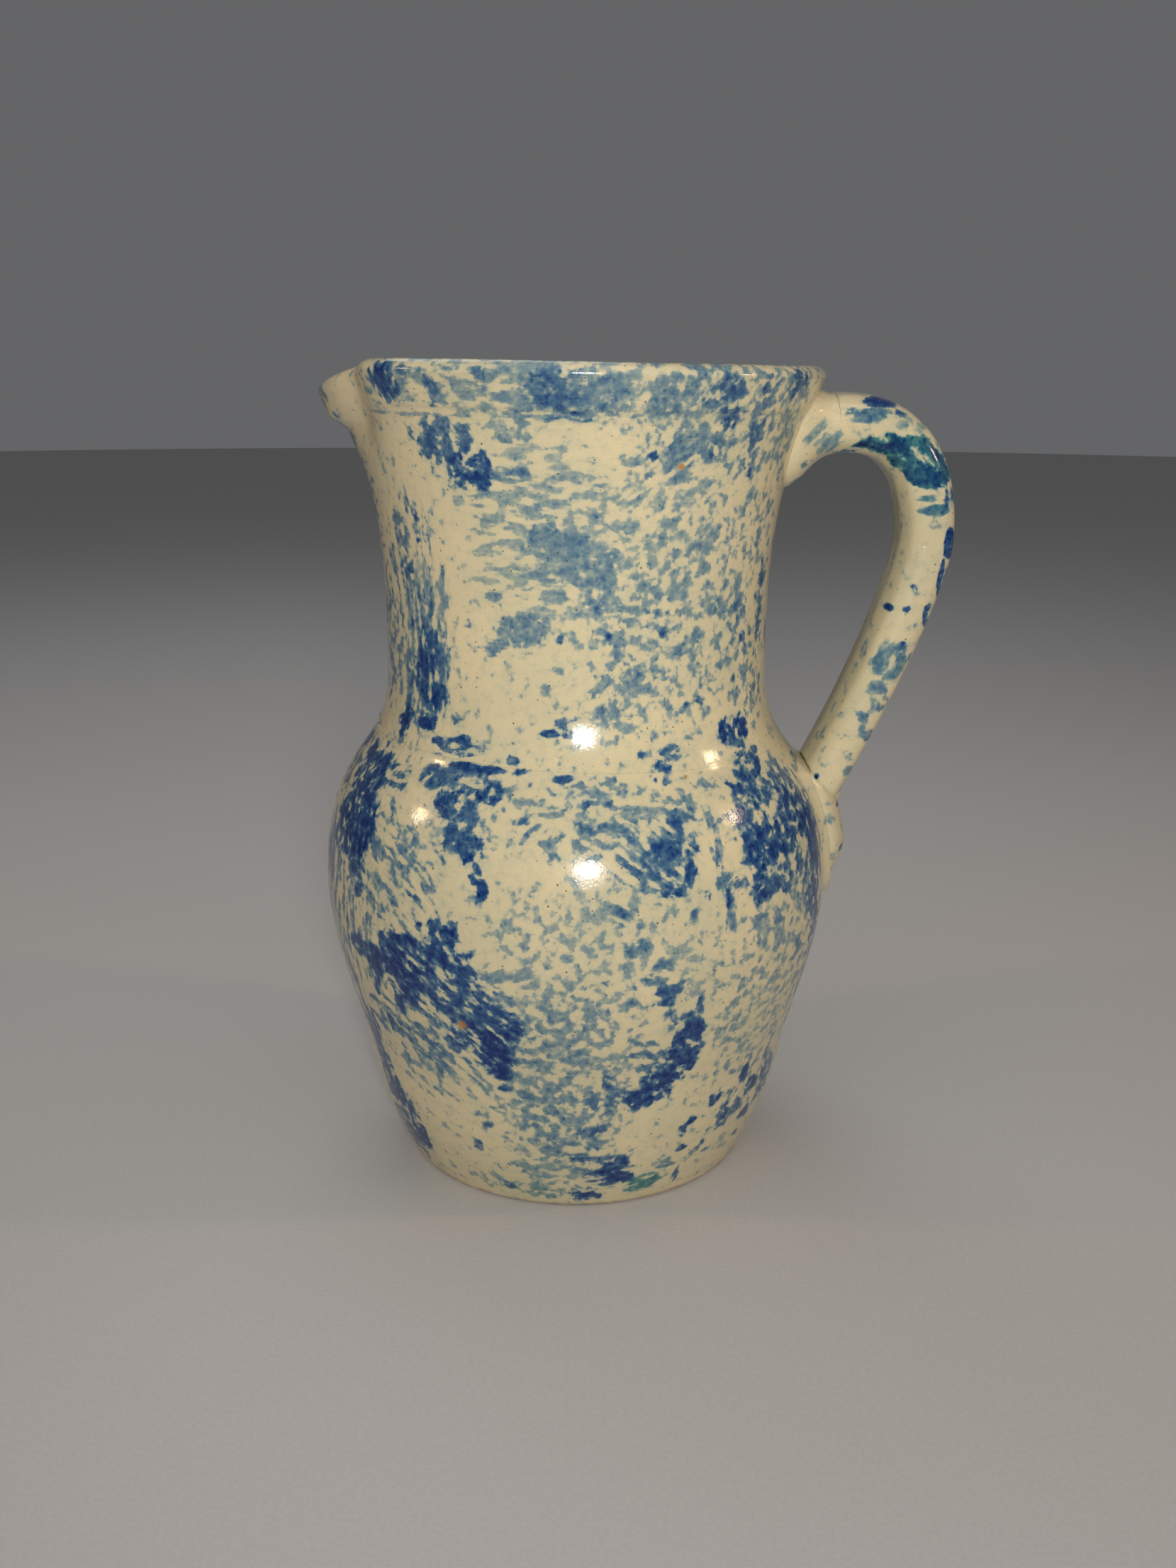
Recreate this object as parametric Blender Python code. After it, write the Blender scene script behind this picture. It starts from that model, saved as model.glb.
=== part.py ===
"""Stoneware pitcher: a thrown two-part body, a rim with a pulled lip, and a strap handle.

Frame: metres, +Z up, origin at the centre of the flat foot, handle towards +X, lip towards -X.
Every clay member is its own closed solid, and JOINT_GAP separates it from its neighbours.
"""

import math

import bpy

MM = 0.001
JOINT_GAP = 0.3 * MM

# Outside of the thrown body: height, radius and slope (radius per height) at each station.
RIM_HEIGHT = 229.0 * MM
FOOT_RADIUS = 50.4 * MM
HIP_HEIGHT, HIP_RADIUS = 32.0 * MM, 62.2 * MM
BELLY_HEIGHT, BELLY_RADIUS = 83.0 * MM, 73.1 * MM
SHOULDER_HEIGHT, SHOULDER_RADIUS = 122.7 * MM, 61.4 * MM
WAIST_HEIGHT, WAIST_RADIUS = 156.0 * MM, 53.8 * MM
RIM_RADIUS = 68.8 * MM
PROFILE = (
    (0.0, FOOT_RADIUS, 0.53),
    (HIP_HEIGHT, HIP_RADIUS, 0.19),
    (BELLY_HEIGHT, BELLY_RADIUS, 0.0),
    (SHOULDER_HEIGHT, SHOULDER_RADIUS, -0.78),
    (WAIST_HEIGHT, WAIST_RADIUS, 0.0),
    (RIM_HEIGHT, RIM_RADIUS, 0.5),
)

# Walls and floor.
FLOOR_THICKNESS = 7.0 * MM
FLOOR_RADIUS = 42.0 * MM
FOOT_CHAMFER = 1.2 * MM
FOOT_WALL = 7.8 * MM
NECK_WALL = 6.0 * MM
COVE_RADIUS = 9.0 * MM
COVE_TURNS = [math.radians(turn) for turn in (60.0, 35.0, 15.0)]

# The two joint lines, which run slightly downhill towards the handle.
SEAM_HEIGHT = 127.8 * MM
SEAM_TILT = math.radians(1.9)
BAND_LINE_HEIGHT = 217.5 * MM
RIM_TILT = math.radians(0.78)
BAND_PROUD = 0.6 * MM
RIM_ROUND = 3.0 * MM
RIM_TURNS = [math.radians(turn) for turn in (36.0, 72.0, 108.0, 144.0)]

# The pulled lip: the rim dips and stands out at the lip and is pinched in on both sides of it.
LIP_DIP = 6.2 * MM
LIP_DIP_WIDTH = math.radians(21.6)
BAND_DIP_SHARE = 0.7
LIP_PULL = 5.3 * MM
LIP_PULL_WIDTH = math.radians(12.5)
LIP_UNDERCUT_PULL = 1.9 * MM
LIP_FADE_HEIGHT = 195.0 * MM
CHIN_HEIGHT = 4.0 * MM
PINCH_DEPTH = 4.6 * MM
PINCH_ANGLE = math.radians(25.0)
PINCH_WIDTH = math.radians(8.5)
PINCH_FADE_HEIGHT = 200.0 * MM

# The strap handle: centreline in the XZ plane and a rounded-rectangle section.
STRAP_START = (70.8 * MM, 212.9 * MM)
STRAP_START_RISE = math.radians(5.0)
STRAP_CREST = (97.8 * MM, 182.0 * MM)
STRAP_END = (68.6 * MM, 108.6 * MM)
STRAP_END_LEAN = math.radians(30.5)
STRAP_HANDLE_START = 21.0 * MM
STRAP_HANDLE_CREST_UP = 17.0 * MM
STRAP_HANDLE_CREST_DOWN = 12.0 * MM
STRAP_HANDLE_END = 24.7 * MM
STRAP_WIDTH_TOP, STRAP_WIDTH_MIDDLE, STRAP_WIDTH_END = 27.0 * MM, 24.0 * MM, 27.0 * MM
STRAP_THICKNESS_TOP, STRAP_THICKNESS_END = 16.4 * MM, 13.8 * MM
STRAP_SQUARENESS = 2.6

# The luted joints at both ends of the handle.
LUTE_FLARE_HEIGHT = 5.2 * MM
LUTE_FLARE_WIDTH = 4.0 * MM
LUTE_FLARE_POWER = 1.35
LUTE_DROP = 4.2 * MM
LUTE_LEDGE_REACH = 3.0 * MM
FOLD_IN = (66.7 * MM, 118.6 * MM)
FOLD_OUT = (76.6 * MM, 109.6 * MM)
SADDLE_THICKNESS = 1.2 * MM
SADDLE_MARGIN = 4.0 * MM
TAIL_TOP, TAIL_BOTTOM = 116.0 * MM, 80.0 * MM
TAIL_HALF_WIDTH = 15.0 * MM
TAIL_FULLNESS = 4.4 * MM
TAIL_EDGE = 0.6 * MM
TAIL_TOE_SHARE = 0.5
TAIL_SWELL_SHARE = 0.45
TAIL_TOE_FLATTEST = 0.97

# Facets: columns around the body, rows up each wall, and steps along the handle's members.
COLUMNS = 60
BELLY_ROWS_OUTSIDE, BELLY_ROWS_INSIDE = 14, 11
NECK_ROWS = 11
BAND_ROWS = 4
STRAP_SIDES = 20
STRAP_STEPS = 15
LUTE_RINGS = 6
LUTE_FACE_SHARES = (0.66, 0.33)
PAD_COLUMNS = 10
TAIL_ROWS = 12
SADDLE_ROWS = 10
SLOPE_STEP = 0.5 * MM
SHARP_ANGLE = math.radians(40.0)

CREAM = (0.56, 0.48, 0.31)
BLUE_GREY = (0.13, 0.18, 0.20)
COBALT = (0.025, 0.05, 0.12)
BARE_CLAY = (0.50, 0.40, 0.27)
GLAZE_ROUGHNESS = 0.12
CLAY_ROUGHNESS = 0.75


def clear_scene():
    for thing in list(bpy.data.objects):
        bpy.data.objects.remove(thing, do_unlink=True)


def material(name, colour, roughness):
    made = bpy.data.materials.new(name)
    made.use_nodes = True
    shader = made.node_tree.nodes["Principled BSDF"]
    shader.inputs["Base Color"].default_value = (*colour, 1.0)
    shader.inputs["Roughness"].default_value = roughness
    shader.inputs["Metallic"].default_value = 0.0
    made.diffuse_color = (*colour, 1.0)
    return made


def smoothstep(low, high, value):
    t = min(max((value - low) / (high - low), 0.0), 1.0)
    return t * t * (3.0 - 2.0 * t)


def body_radius(height):
    """Outside radius of the plain turned body: cubic pieces between the profile's stations."""
    height = min(max(height, 0.0), RIM_HEIGHT)
    for (z0, r0, m0), (z1, r1, m1) in zip(PROFILE, PROFILE[1:]):
        if height <= z1:
            span = z1 - z0
            t = (height - z0) / span
            low = (1.0 + 2.0 * t) * (1.0 - t) ** 2 * r0 + t * (1.0 - t) ** 2 * span * m0
            high = t * t * (3.0 - 2.0 * t) * r1 + t * t * (t - 1.0) * span * m1
            return low + high
    return PROFILE[-1][1]


def body_slope(height):
    rise = body_radius(height + SLOPE_STEP) - body_radius(height - SLOPE_STEP)
    return rise / (2.0 * SLOPE_STEP)


def seam_height(angle):
    return SEAM_HEIGHT - math.tan(SEAM_TILT) * body_radius(SEAM_HEIGHT) * math.cos(angle)


def rim_drop(angle):
    return math.tan(RIM_TILT) * RIM_RADIUS * math.cos(angle)


def from_lip(angle):
    """Angle away from the middle of the lip, 0 to pi."""
    return abs(math.remainder(angle - math.pi, 2.0 * math.pi))


def lip_dip(angle):
    return LIP_DIP * math.exp(-((from_lip(angle) / LIP_DIP_WIDTH) ** 2))


def rim_height(angle):
    return RIM_HEIGHT - rim_drop(angle) - lip_dip(angle)


def band_line_height(angle):
    return BAND_LINE_HEIGHT - rim_drop(angle) - BAND_DIP_SHARE * lip_dip(angle)


def lip_shape(angle, height, pull):
    """How far the wall is pulled out at the lip, less how far it is pinched in beside it."""
    side = from_lip(angle)
    out = pull * math.exp(-((side / LIP_PULL_WIDTH) ** 2))
    pinch = PINCH_DEPTH * math.exp(-(((side - PINCH_ANGLE) / PINCH_WIDTH) ** 2))
    return out - pinch * smoothstep(PINCH_FADE_HEIGHT, RIM_HEIGHT, height)


def neck_outside(angle, height):
    """The neck under the lip is pulled a little, and flares into a chin just under the band."""
    line = band_line_height(angle)
    fade = smoothstep(LIP_FADE_HEIGHT, band_line_height(math.pi), height)
    chin = smoothstep(line - CHIN_HEIGHT, line, height)
    pull = LIP_UNDERCUT_PULL * fade + (LIP_PULL - LIP_UNDERCUT_PULL) * chin
    return body_radius(height) + lip_shape(angle, height, pull)


def band_outside(angle, height):
    return body_radius(height) + BAND_PROUD + lip_shape(angle, height, LIP_PULL)


def wall_inside(angle, height):
    """Inside radius: the wall thins from the foot to the seam, and the lip is pulled from within."""
    thickness = NECK_WALL + (FOOT_WALL - NECK_WALL) * max(1.0 - height / SEAM_HEIGHT, 0.0)
    fade = smoothstep(LIP_FADE_HEIGHT, BAND_LINE_HEIGHT, height)
    pull = lip_shape(angle, height, LIP_PULL * fade)
    return body_radius(height) + pull - thickness * math.hypot(1.0, body_slope(height))


def polar(angle, radius, height):
    return (radius * math.cos(angle), radius * math.sin(angle), height)


def spaced(low, high, count):
    return [low + (high - low) * step / (count - 1) for step in range(count)]


def finish_mesh(name, points, faces, finish):
    mesh = bpy.data.meshes.new(name)
    mesh.from_pydata(points, [], faces)
    mesh.validate()
    mesh.update()
    mesh.shade_smooth()
    mesh.set_sharp_from_angle(angle=SHARP_ANGLE)
    mesh.materials.append(finish)
    made = bpy.data.objects.new(name, mesh)
    bpy.context.scene.collection.objects.link(made)
    return made


def ring_wall(name, loop_at, finish):
    """A closed ring-shaped wall. loop_at(angle) gives its section, anticlockwise seen from -angle."""
    loops = [loop_at(2.0 * math.pi * column / COLUMNS) for column in range(COLUMNS)]
    size = len(loops[0])
    points = [point for loop in loops for point in loop]
    faces = []
    for column in range(COLUMNS):
        here = column * size
        there = ((column + 1) % COLUMNS) * size
        for row in range(size):
            up = (row + 1) % size
            faces.append((here + row, there + row, there + up, here + up))
    return finish_mesh(name, points, faces, finish)


def belly_loop(angle):
    """Foot chamfer, outside up to the seam, then inside down to the cove over the floor."""
    top = seam_height(angle) - JOINT_GAP / 2.0
    outside = spaced(FOOT_CHAMFER, top, BELLY_ROWS_OUTSIDE)
    loop = [(body_radius(FOOT_CHAMFER) - FOOT_CHAMFER, 0.0)]
    loop += [(body_radius(z), z) for z in outside]
    over_floor = FLOOR_THICKNESS + JOINT_GAP
    cove_top = over_floor + COVE_RADIUS
    inside = spaced(cove_top, top, BELLY_ROWS_INSIDE)
    loop += [(wall_inside(angle, z), z) for z in reversed(inside)]
    edge_radius = loop[-1][0] - COVE_RADIUS
    for turn in COVE_TURNS:
        radius = edge_radius + COVE_RADIUS * math.sin(turn)
        loop.append((radius, cove_top - COVE_RADIUS * math.cos(turn)))
    foot_inside = FLOOR_RADIUS + JOINT_GAP
    loop.append((loop[-1][0], over_floor))
    loop.append((foot_inside, over_floor))
    loop.append((foot_inside, 0.0))
    return [polar(angle, radius, z) for radius, z in loop]


def neck_loop(angle):
    bottom = seam_height(angle) + JOINT_GAP / 2.0
    top = band_line_height(angle) - JOINT_GAP / 2.0
    heights = spaced(bottom, top - CHIN_HEIGHT, NECK_ROWS) + [top - CHIN_HEIGHT / 2.0, top]
    loop = [(neck_outside(angle, z), z) for z in heights]
    loop += [(wall_inside(angle, z), z) for z in reversed(heights)]
    return [polar(angle, radius, z) for radius, z in loop]


def rim_loop(angle):
    """Band outside, the rounded top edge, and the band inside."""
    bottom = band_line_height(angle) + JOINT_GAP / 2.0
    shoulder = rim_height(angle) - RIM_ROUND
    heights = spaced(bottom, shoulder, BAND_ROWS)
    loop = [(band_outside(angle, z), z) for z in heights]
    inside, outside = wall_inside(angle, shoulder), band_outside(angle, shoulder)
    centre, half = (inside + outside) / 2.0, (outside - inside) / 2.0
    for turn in RIM_TURNS:
        loop.append((centre + half * math.cos(turn), shoulder + RIM_ROUND * math.sin(turn)))
    loop += [(wall_inside(angle, z), z) for z in reversed(heights)]
    return [polar(angle, radius, z) for radius, z in loop]


def foot_floor(finish):
    """A plain disc, with the pitcher's flat resting face as its underside."""
    rings = ((FLOOR_RADIUS, 0.0), (FLOOR_RADIUS, FLOOR_THICKNESS))
    points = []
    for radius, z in rings:
        points += [polar(2.0 * math.pi * column / COLUMNS, radius, z) for column in range(COLUMNS)]
    bottom_centre = len(points)
    points += [(0.0, 0.0, 0.0), (0.0, 0.0, FLOOR_THICKNESS)]
    faces = []
    for column in range(COLUMNS):
        after = (column + 1) % COLUMNS
        faces.append((column, after, COLUMNS + after, COLUMNS + column))
        faces.append((after, column, bottom_centre))
        faces.append((COLUMNS + column, COLUMNS + after, bottom_centre + 1))
    return finish_mesh("foot_floor", points, faces, finish)


def bezier(points, t):
    """Point and direction on a cubic curve in the XZ plane."""
    (ax, az), (bx, bz), (cx, cz), (dx, dz) = points
    s = 1.0 - t
    weights = (s ** 3, 3.0 * s * s * t, 3.0 * s * t * t, t ** 3)
    place = (
        weights[0] * ax + weights[1] * bx + weights[2] * cx + weights[3] * dx,
        weights[0] * az + weights[1] * bz + weights[2] * cz + weights[3] * dz,
    )
    run_x = s * s * (bx - ax) + 2.0 * s * t * (cx - bx) + t * t * (dx - cx)
    run_z = s * s * (bz - az) + 2.0 * s * t * (cz - bz) + t * t * (dz - cz)
    length = math.hypot(run_x, run_z)
    return place, (run_x / length, run_z / length)


def strap_curves():
    """The arch from the neck to the crest of the handle, and the run from there to the belly."""
    start_x, start_z = STRAP_START
    crest_x, crest_z = STRAP_CREST
    end_x, end_z = STRAP_END
    arch = (
        STRAP_START,
        (
            start_x + STRAP_HANDLE_START * math.cos(STRAP_START_RISE),
            start_z + STRAP_HANDLE_START * math.sin(STRAP_START_RISE),
        ),
        (crest_x, crest_z + STRAP_HANDLE_CREST_UP),
        STRAP_CREST,
    )
    run = (
        STRAP_CREST,
        (crest_x, crest_z - STRAP_HANDLE_CREST_DOWN),
        (
            end_x + STRAP_HANDLE_END * math.sin(STRAP_END_LEAN),
            end_z + STRAP_HANDLE_END * math.cos(STRAP_END_LEAN),
        ),
        STRAP_END,
    )
    return arch, run


def strap_section(width, thickness):
    """Rounded rectangle as (across, through) pairs, anticlockwise."""
    section = []
    for side in range(STRAP_SIDES):
        turn = 2.0 * math.pi * side / STRAP_SIDES
        c, s = math.cos(turn), math.sin(turn)
        across = math.copysign(abs(c) ** (2.0 / STRAP_SQUARENESS), c) * width / 2.0
        through = math.copysign(abs(s) ** (2.0 / STRAP_SQUARENESS), s) * thickness / 2.0
        section.append((across, through))
    return section


def strap_size(along):
    ends = STRAP_WIDTH_TOP if along < 0.5 else STRAP_WIDTH_END
    width = STRAP_WIDTH_MIDDLE + (ends - STRAP_WIDTH_MIDDLE) * (2.0 * along - 1.0) ** 2
    thickness = STRAP_THICKNESS_TOP + (STRAP_THICKNESS_END - STRAP_THICKNESS_TOP) * along
    return width, thickness


def strap_ring(place, direction, along):
    (x, z), (run_x, run_z) = place, direction
    width, thickness = strap_size(along)
    return [
        (x - run_z * through, across, z + run_x * through)
        for across, through in strap_section(width, thickness)
    ]


def slide_to_plane(point, direction, plane_in, plane_out):
    """Move a point along the strap until it meets the fold line, which runs along Y."""
    x, y, z = point
    line_x, line_z = plane_out[0] - plane_in[0], plane_out[1] - plane_in[1]
    normal_x, normal_z = -line_z, line_x
    reach = (plane_in[0] - x) * normal_x + (plane_in[1] - z) * normal_z
    reach /= direction[0] * normal_x + direction[1] * normal_z
    return (x + direction[0] * reach, y, z + direction[1] * reach)


def capped_tube(name, rings, finish, extra_rings=()):
    """A tube of equal rings closed by a fan at its start, and by inner rings and a fan at its end."""
    everything = list(rings) + list(extra_rings)
    size = len(everything[0])
    points = [point for ring in everything for point in ring]
    faces = []
    for step in range(len(everything) - 1):
        low = step * size
        for side in range(size):
            after = (side + 1) % size
            faces.append((low + side, low + after, low + size + after, low + size + side))
    first = everything[0]
    last = everything[-1]
    points.append(tuple(sum(axis) / size for axis in zip(*first)))
    points.append(tuple(sum(axis) / size for axis in zip(*last)))
    start_centre, end_centre = len(points) - 2, len(points) - 1
    top = (len(everything) - 1) * size
    for side in range(size):
        after = (side + 1) % size
        faces.append((after, side, start_centre))
        faces.append((top + side, top + after, end_centre))
    return finish_mesh(name, points, faces, finish)


def handle_strap(finish):
    arch, run = strap_curves()
    stations = [(arch, t / STRAP_STEPS) for t in range(STRAP_STEPS)]
    stations += [(run, t / STRAP_STEPS) for t in range(STRAP_STEPS - 2)]
    rings = []
    for index, (curve, t) in enumerate(stations):
        place, direction = bezier(curve, t)
        if index == 0:
            direction = (1.0, 0.0)
        rings.append(strap_ring(place, direction, index / len(stations)))
    place, direction = bezier(run, 1.0)
    last = strap_ring(place, direction, 1.0)
    rings.append([slide_to_plane(point, direction, FOLD_IN, FOLD_OUT) for point in last])
    return capped_tube("handle_strap", rings, finish)


def wall_x(y, z):
    """Where the outside of the wall stands at this y and z, on the handle's side."""
    radius = neck_outside(0.0, z)
    if z > band_line_height(0.0) - LUTE_LEDGE_REACH:
        radius = band_outside(0.0, z)
    return math.sqrt(radius * radius - y * y)


def handle_top_lute(finish):
    """The flare between the start of the strap and the neck, closed by a face that fits the wall."""
    start_x, start_z = STRAP_START
    width, thickness = strap_size(0.0)
    near = [(across, start_z + through) for across, through in strap_section(width, thickness)]
    scale_y = (width / 2.0 + LUTE_FLARE_WIDTH) / (width / 2.0)
    scale_z = (thickness / 2.0 + LUTE_FLARE_HEIGHT) / (thickness / 2.0)
    far = [(y * scale_y, start_z - LUTE_DROP + (z - start_z) * scale_z) for y, z in near]
    rings = []
    for share in spaced(0.0, 1.0, LUTE_RINGS):
        spread = share ** LUTE_FLARE_POWER
        ring = []
        for (near_y, near_z), (far_y, far_z) in zip(near, far):
            y = near_y + (far_y - near_y) * spread
            z = near_z + (far_z - near_z) * spread
            close = wall_x(far_y, far_z) + JOINT_GAP
            ring.append((start_x - JOINT_GAP + (close - start_x + JOINT_GAP) * share, y, z))
        rings.append(ring)
    middle = start_z - LUTE_DROP
    inner_rings = []
    for share in LUTE_FACE_SHARES:
        flat = [(y * share, middle + (z - middle) * share) for y, z in far]
        inner_rings.append([(wall_x(y, z) + JOINT_GAP, y, z) for y, z in flat])
    made = capped_tube("handle_top_lute", rings, finish, inner_rings)
    made.data.flip_normals()
    return made


def tail_fullness(height):
    """How far the tail stands off the saddle under it, along its middle line."""
    fold_share = (height - FOLD_IN[1]) / (FOLD_OUT[1] - FOLD_IN[1])
    fold_x = FOLD_IN[0] + (FOLD_OUT[0] - FOLD_IN[0]) * fold_share
    under_fold = fold_x - 2.0 * JOINT_GAP - body_radius(height) - SADDLE_THICKNESS - 2.0 * JOINT_GAP
    swell_top = TAIL_BOTTOM + TAIL_SWELL_SHARE * (TAIL_TOP - TAIL_BOTTOM)
    toe = smoothstep(TAIL_BOTTOM, swell_top, height)
    return max(min(under_fold, TAIL_FULLNESS * toe), TAIL_EDGE)


def tail_half_width(height, margin):
    """Half the width of the rounded toe and straight sides of the tail."""
    reach = TAIL_TOE_SHARE * (TAIL_TOP - TAIL_BOTTOM)
    below = TAIL_BOTTOM - margin + reach - height
    share = min(max(below / reach, 0.0), TAIL_TOE_FLATTEST)
    return (TAIL_HALF_WIDTH + margin) * math.sqrt(1.0 - share * share)


def belly_pad(name, heights, stand_off, full_at, margin, finish):
    """A pad that follows the belly: a grid of outer points over a grid of inner points."""
    columns = [2.0 * column / PAD_COLUMNS - 1.0 for column in range(PAD_COLUMNS + 1)]
    outer, inner = [], []
    for z in heights:
        radius = body_radius(z) + stand_off
        half = tail_half_width(z, margin) / radius
        for across in columns:
            crown = math.sqrt(max(1.0 - across * across, 0.0))
            rise = TAIL_EDGE + (max(full_at(z), TAIL_EDGE) - TAIL_EDGE) * crown
            outer.append(polar(across * half, radius + rise, z))
            inner.append(polar(across * half, radius, z))
    wide, tall = len(columns), len(heights)
    shift = wide * tall
    faces = []
    for row in range(tall - 1):
        for column in range(wide - 1):
            a = row * wide + column
            b, c, d = a + 1, a + wide + 1, a + wide
            faces.append((a, b, c, d))
            faces.append((shift + d, shift + c, shift + b, shift + a))
    border = [row * wide for row in reversed(range(1, tall))]
    border += list(range(wide - 1))
    border += [row * wide + wide - 1 for row in range(tall - 1)]
    border += [(tall - 1) * wide + column for column in reversed(range(1, wide))]
    for a, b in zip(border, border[1:] + border[:1]):
        faces.append((b, a, shift + a, shift + b))
    return finish_mesh(name, outer + inner, faces, finish)


def handle_tail(finish):
    heights = spaced(TAIL_BOTTOM, TAIL_TOP, TAIL_ROWS)
    stand_off = JOINT_GAP + SADDLE_THICKNESS + JOINT_GAP
    return belly_pad("handle_tail", heights, stand_off, tail_fullness, 0.0, finish)


def saddle_fullness(height):
    return SADDLE_THICKNESS - JOINT_GAP


def handle_bottom_lute(finish):
    heights = spaced(TAIL_BOTTOM - SADDLE_MARGIN, TAIL_TOP + JOINT_GAP, SADDLE_ROWS)
    return belly_pad("handle_bottom_lute", heights, JOINT_GAP, saddle_fullness, SADDLE_MARGIN, finish)


def build():
    clear_scene()
    foot_floor(material("floor_clay", BARE_CLAY, CLAY_ROUGHNESS))
    ring_wall("belly_wall", belly_loop, material("belly_glaze", CREAM, GLAZE_ROUGHNESS))
    ring_wall("neck_wall", neck_loop, material("neck_glaze", CREAM, GLAZE_ROUGHNESS))
    ring_wall("rim_and_spout", rim_loop, material("rim_glaze", BLUE_GREY, GLAZE_ROUGHNESS))
    handle_strap(material("strap_glaze", CREAM, GLAZE_ROUGHNESS))
    handle_top_lute(material("top_lute_glaze", BLUE_GREY, GLAZE_ROUGHNESS))
    handle_tail(material("tail_glaze", CREAM, GLAZE_ROUGHNESS))
    handle_bottom_lute(material("bottom_lute_glaze", COBALT, GLAZE_ROUGHNESS))


build()
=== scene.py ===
"""The looks of a sponged stoneware pitcher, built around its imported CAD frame.

Everything is in metres, with +Z up, the foot on the floor round the origin, the handle towards +X and
the lip towards -X. Each visible piece stands for one CAD node and repeats that node's driving sizes.
"""

import logging
import math
from dataclasses import dataclass, field
from enum import Enum
from typing import Any, Callable, Optional, Sequence

import bmesh
import bpy
import numpy as np
from mathutils import Matrix, Vector


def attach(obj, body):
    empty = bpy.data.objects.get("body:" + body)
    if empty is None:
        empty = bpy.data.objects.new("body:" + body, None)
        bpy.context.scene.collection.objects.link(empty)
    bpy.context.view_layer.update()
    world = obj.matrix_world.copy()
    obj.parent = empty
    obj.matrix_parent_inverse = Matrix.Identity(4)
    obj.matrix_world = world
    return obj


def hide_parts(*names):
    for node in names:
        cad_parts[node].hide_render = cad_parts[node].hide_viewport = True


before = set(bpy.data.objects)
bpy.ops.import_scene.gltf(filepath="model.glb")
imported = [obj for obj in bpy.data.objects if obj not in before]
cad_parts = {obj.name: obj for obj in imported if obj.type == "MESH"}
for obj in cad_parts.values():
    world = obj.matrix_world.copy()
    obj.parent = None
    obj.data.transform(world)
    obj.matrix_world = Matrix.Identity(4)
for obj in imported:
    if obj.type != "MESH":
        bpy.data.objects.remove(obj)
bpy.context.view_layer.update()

LOG = logging.getLogger("pitcher")
MM = 0.001
SHARP_ANGLE = math.radians(35.0)
Colour = tuple[float, float, float]
Triple = tuple[float, float, float]
Pair = tuple[float, float]
Array = np.ndarray


# Node trees


def maths_operator(operation: str, is_last: bool = False) -> Callable[["Wire", Any], "Wire"]:
    """A Python operator that adds one Math node.

    Args:
        operation: The node's operation.
        is_last: Whether the wire that has the operator comes second.

    Returns:
        The operator, as a method of Wire.
    """
    def method(wire: "Wire", other: Any) -> "Wire":
        """Add the node."""
        values = (other, wire) if is_last else (wire, other)
        return wire.bench.maths(operation, *values)
    return method


class Wire:
    """One output socket of a node tree, on which Python's operators add Math nodes."""

    def __init__(self, bench: "Bench", socket: bpy.types.NodeSocket) -> None:
        """Remember the tree's bench and the socket."""
        self.bench = bench
        self.socket = socket

    __add__ = __radd__ = maths_operator("ADD")
    __mul__ = __rmul__ = maths_operator("MULTIPLY")
    __sub__ = maths_operator("SUBTRACT")
    __rsub__ = maths_operator("SUBTRACT", True)
    __truediv__ = maths_operator("DIVIDE")
    __rtruediv__ = maths_operator("DIVIDE", True)
    __pow__ = maths_operator("POWER")

    def clamp(self, low: float = 0.0, high: float = 1.0) -> "Wire":
        """The number kept between two limits."""
        return self.bench.maths("MINIMUM", self.bench.maths("MAXIMUM", self, low), high)


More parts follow.
